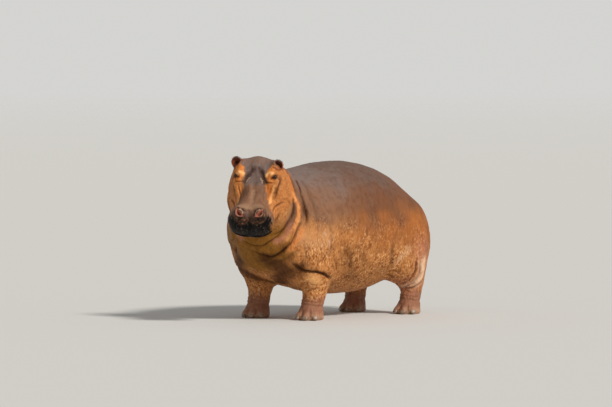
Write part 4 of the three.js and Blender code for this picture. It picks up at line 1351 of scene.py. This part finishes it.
# Bristles stand in small clumps on the upper lip, more of them near its edge.
def whiskerRoots():
    pick = random.Random(7)
    roots = []
    for side in (1, -1):
        for _ in range(whiskerSetup["clumps"]):
            up = -40 - 165 * pick.random() ** 0.7
            across = side * (10 + 165 * pick.random())
            before = Vector(headPoint((520, across, up)))
            aim = Vector(headPoint((200, across * 0.6, -120))) - before
            place, normal, _, _ = hideTree.ray_cast(before, aim.normalized())
            if place is None:
                continue
            for _ in range(pick.randint(2, 5)):
                direction = (normal + wobble(pick, 0.35) - headUp * 0.6).normalized()
                start = place + wobble(pick, whiskerSetup["clumpHalf"])
                length = whiskerSetup["length"] * pick.uniform(0.6, 1.25)
                roots.append((start, direction, length, whiskerSetup["radius"]))
    return roots


# Hair grows on the ear's rim, between its bowl and its reach.
earHairSetup = {"count": 900, "length": 0.0075, "radius": 0.00042, "bowl": 0.036, "reach": 0.07}


def earHairRoots():
    pick = random.Random(11)
    roots = []
    co, normals = readCo(skin.data), readNormals(skin.data)
    opening = Vector(np.array(nose) * 0.62 + np.array(headUp) * 0.72)
    for centre in earPlaces:
        low = centre - np.array(headUp) * 0.02
        close = np.linalg.norm(co - centre, axis=1) < earHairSetup["reach"]
        near = np.flatnonzero(close & ((co - low) @ np.array(headUp) > 0))
        rim = [i for i in near if np.linalg.norm(co[i] - centre) > earHairSetup["bowl"]]
        for _ in range(earHairSetup["count"]):
            i = pick.choice(rim)
            outward = Vector(co[i] - centre).normalized()
            lean = Vector(normals[i]) + outward * 0.9 + opening * 0.2
            direction = (lean + wobble(pick, 0.35)).normalized()
            length = earHairSetup["length"] * pick.uniform(0.5, 1.2)
            roots.append((Vector(co[i]), direction, length, earHairSetup["radius"]))
    return roots


tailHairSetup = {"count": 300, "tip": 90, "length": 0.062, "radius": 0.0010}


def tailUnwrap(root):
    return 0.5 + (root.y - spineY) * 5, 0.1 + (root.z - 0.55) * 1.5


def tailHairRoots():
    pick = random.Random(23)
    roots = []
    line = through(tailLine, 0.01)
    for _ in range(tailHairSetup["count"]):
        share = 1 - 0.42 * pick.random() ** 1.6
        middle = line[int(share * (len(line) - 1))]
        side = pick.choice((-1, 1))
        out = Vector((pick.uniform(-0.8, 0.8), side, -0.35 * share)).normalized()
        place = hideTree.find_nearest(Vector(middle) + out * 0.02)[0]
        hang = out * 0.55 - Vector((0, 0, 0.7 + 0.5 * share))
        direction = (hang + wobble(pick, 0.2)).normalized()
        length = tailHairSetup["length"] * pick.uniform(0.5, 1.0)
        roots.append((place, direction, length, tailHairSetup["radius"]))
    for _ in range(tailHairSetup["tip"]):
        away = Vector((pick.uniform(-0.3, 0.3), pick.uniform(-1, 1), -0.5)).normalized()
        place = hideTree.find_nearest(Vector(line[-1]) + away * 0.03)[0]
        direction = (away * 0.4 + Vector((0, 0, -1))).normalized()
        length = tailHairSetup["length"] * pick.uniform(0.7, 1.2)
        roots.append((place, direction, length, tailHairSetup["radius"]))
    return roots


paleBristle = bristleMaterial("paleBristle", tone(48, 36, 27), tone(104, 80, 58))
redHair = bristleMaterial("redHair", tone(84, 36, 20), tone(150, 76, 40))
blackBristle = bristleMaterial("blackBristle", tone(26, 20, 17), tone(58, 44, 36))
plantBristles("whiskers", whiskerRoots(), bristleShape(4, 0.12), paleBristle, headUnwrap)
plantBristles("ear_hair", earHairRoots(), bristleShape(3, 0.15), redHair, headUnwrap)
plantBristles("tail_bristles", tailHairRoots(), bristleShape(4, 0.10), blackBristle, tailUnwrap)

# Floor, light and background.

studio = {
    "floorRadius": 220,
    "floorTone": (0.66, 0.655, 0.64, 1),
    "background": (0.66, 0.655, 0.64, 1),  # what the camera and mirrors see past the floor
    "skyTone": (1.0, 0.99, 0.97, 1),
    "skyLight": 0.34,
    "sun": 3.0,
    "sunTone": (1.0, 0.965, 0.90),
    "sunSize": 9,  # degrees, for soft shadows
    "sunFrom": (0.02, -0.78, 0.62),
}


def makeFloor():
    bm = bmesh.new()
    bmesh.ops.create_circle(bm, cap_ends=True, segments=128, radius=studio["floorRadius"])
    floor = newObject("floor", bm)
    paint = newPaint("floor")
    distance = paint.wire("ShaderNodeVectorMath", {"operation": "LENGTH"}, {0: paint.place}, "Value")
    fade = 1 - paint.step(distance, 30, studio["floorRadius"] * 0.9)
    floor.data.materials.append(paint.finish({"Base Color": studio["floorTone"], "Roughness": 0.9,
                                              "Metallic": 0.0, "Alpha": fade}))


def makeWorld():
    scene.world = bpy.data.worlds.new("studio")
    paint = Paint(scene.world)
    rays = paint.add("ShaderNodeLightPath").outputs
    camera, glossy, clear = (Wire(paint, rays[name]) for name in
                             ("Is Camera Ray", "Is Glossy Ray", "Is Transmission Ray"))
    seen = camera.math("MAXIMUM", camera, glossy.math("MAXIMUM", glossy, clear))
    lit = paint.wire("ShaderNodeBackground", {}, {"Color": studio["skyTone"], "Strength": studio["skyLight"]})
    shown = paint.wire("ShaderNodeBackground", {}, {"Color": studio["background"]})
    both = paint.wire("ShaderNodeMixShader", {}, {0: seen, 1: lit, 2: shown})
    paint.add("ShaderNodeOutputWorld", {}, {"Surface": both})


def addSun():
    light = bpy.data.lights.new("sun", "SUN")
    light.energy = studio["sun"]
    light.angle = math.radians(studio["sunSize"])
    light.color = studio["sunTone"]
    sun = bpy.data.objects.new("sun", light)
    scene.collection.objects.link(sun)
    sun.rotation_euler = Vector(studio["sunFrom"]).to_track_quat("Z", "Y").to_euler()


makeFloor()
makeWorld()
addSun()
scene.view_settings.view_transform = "Standard"
print("studio ready")
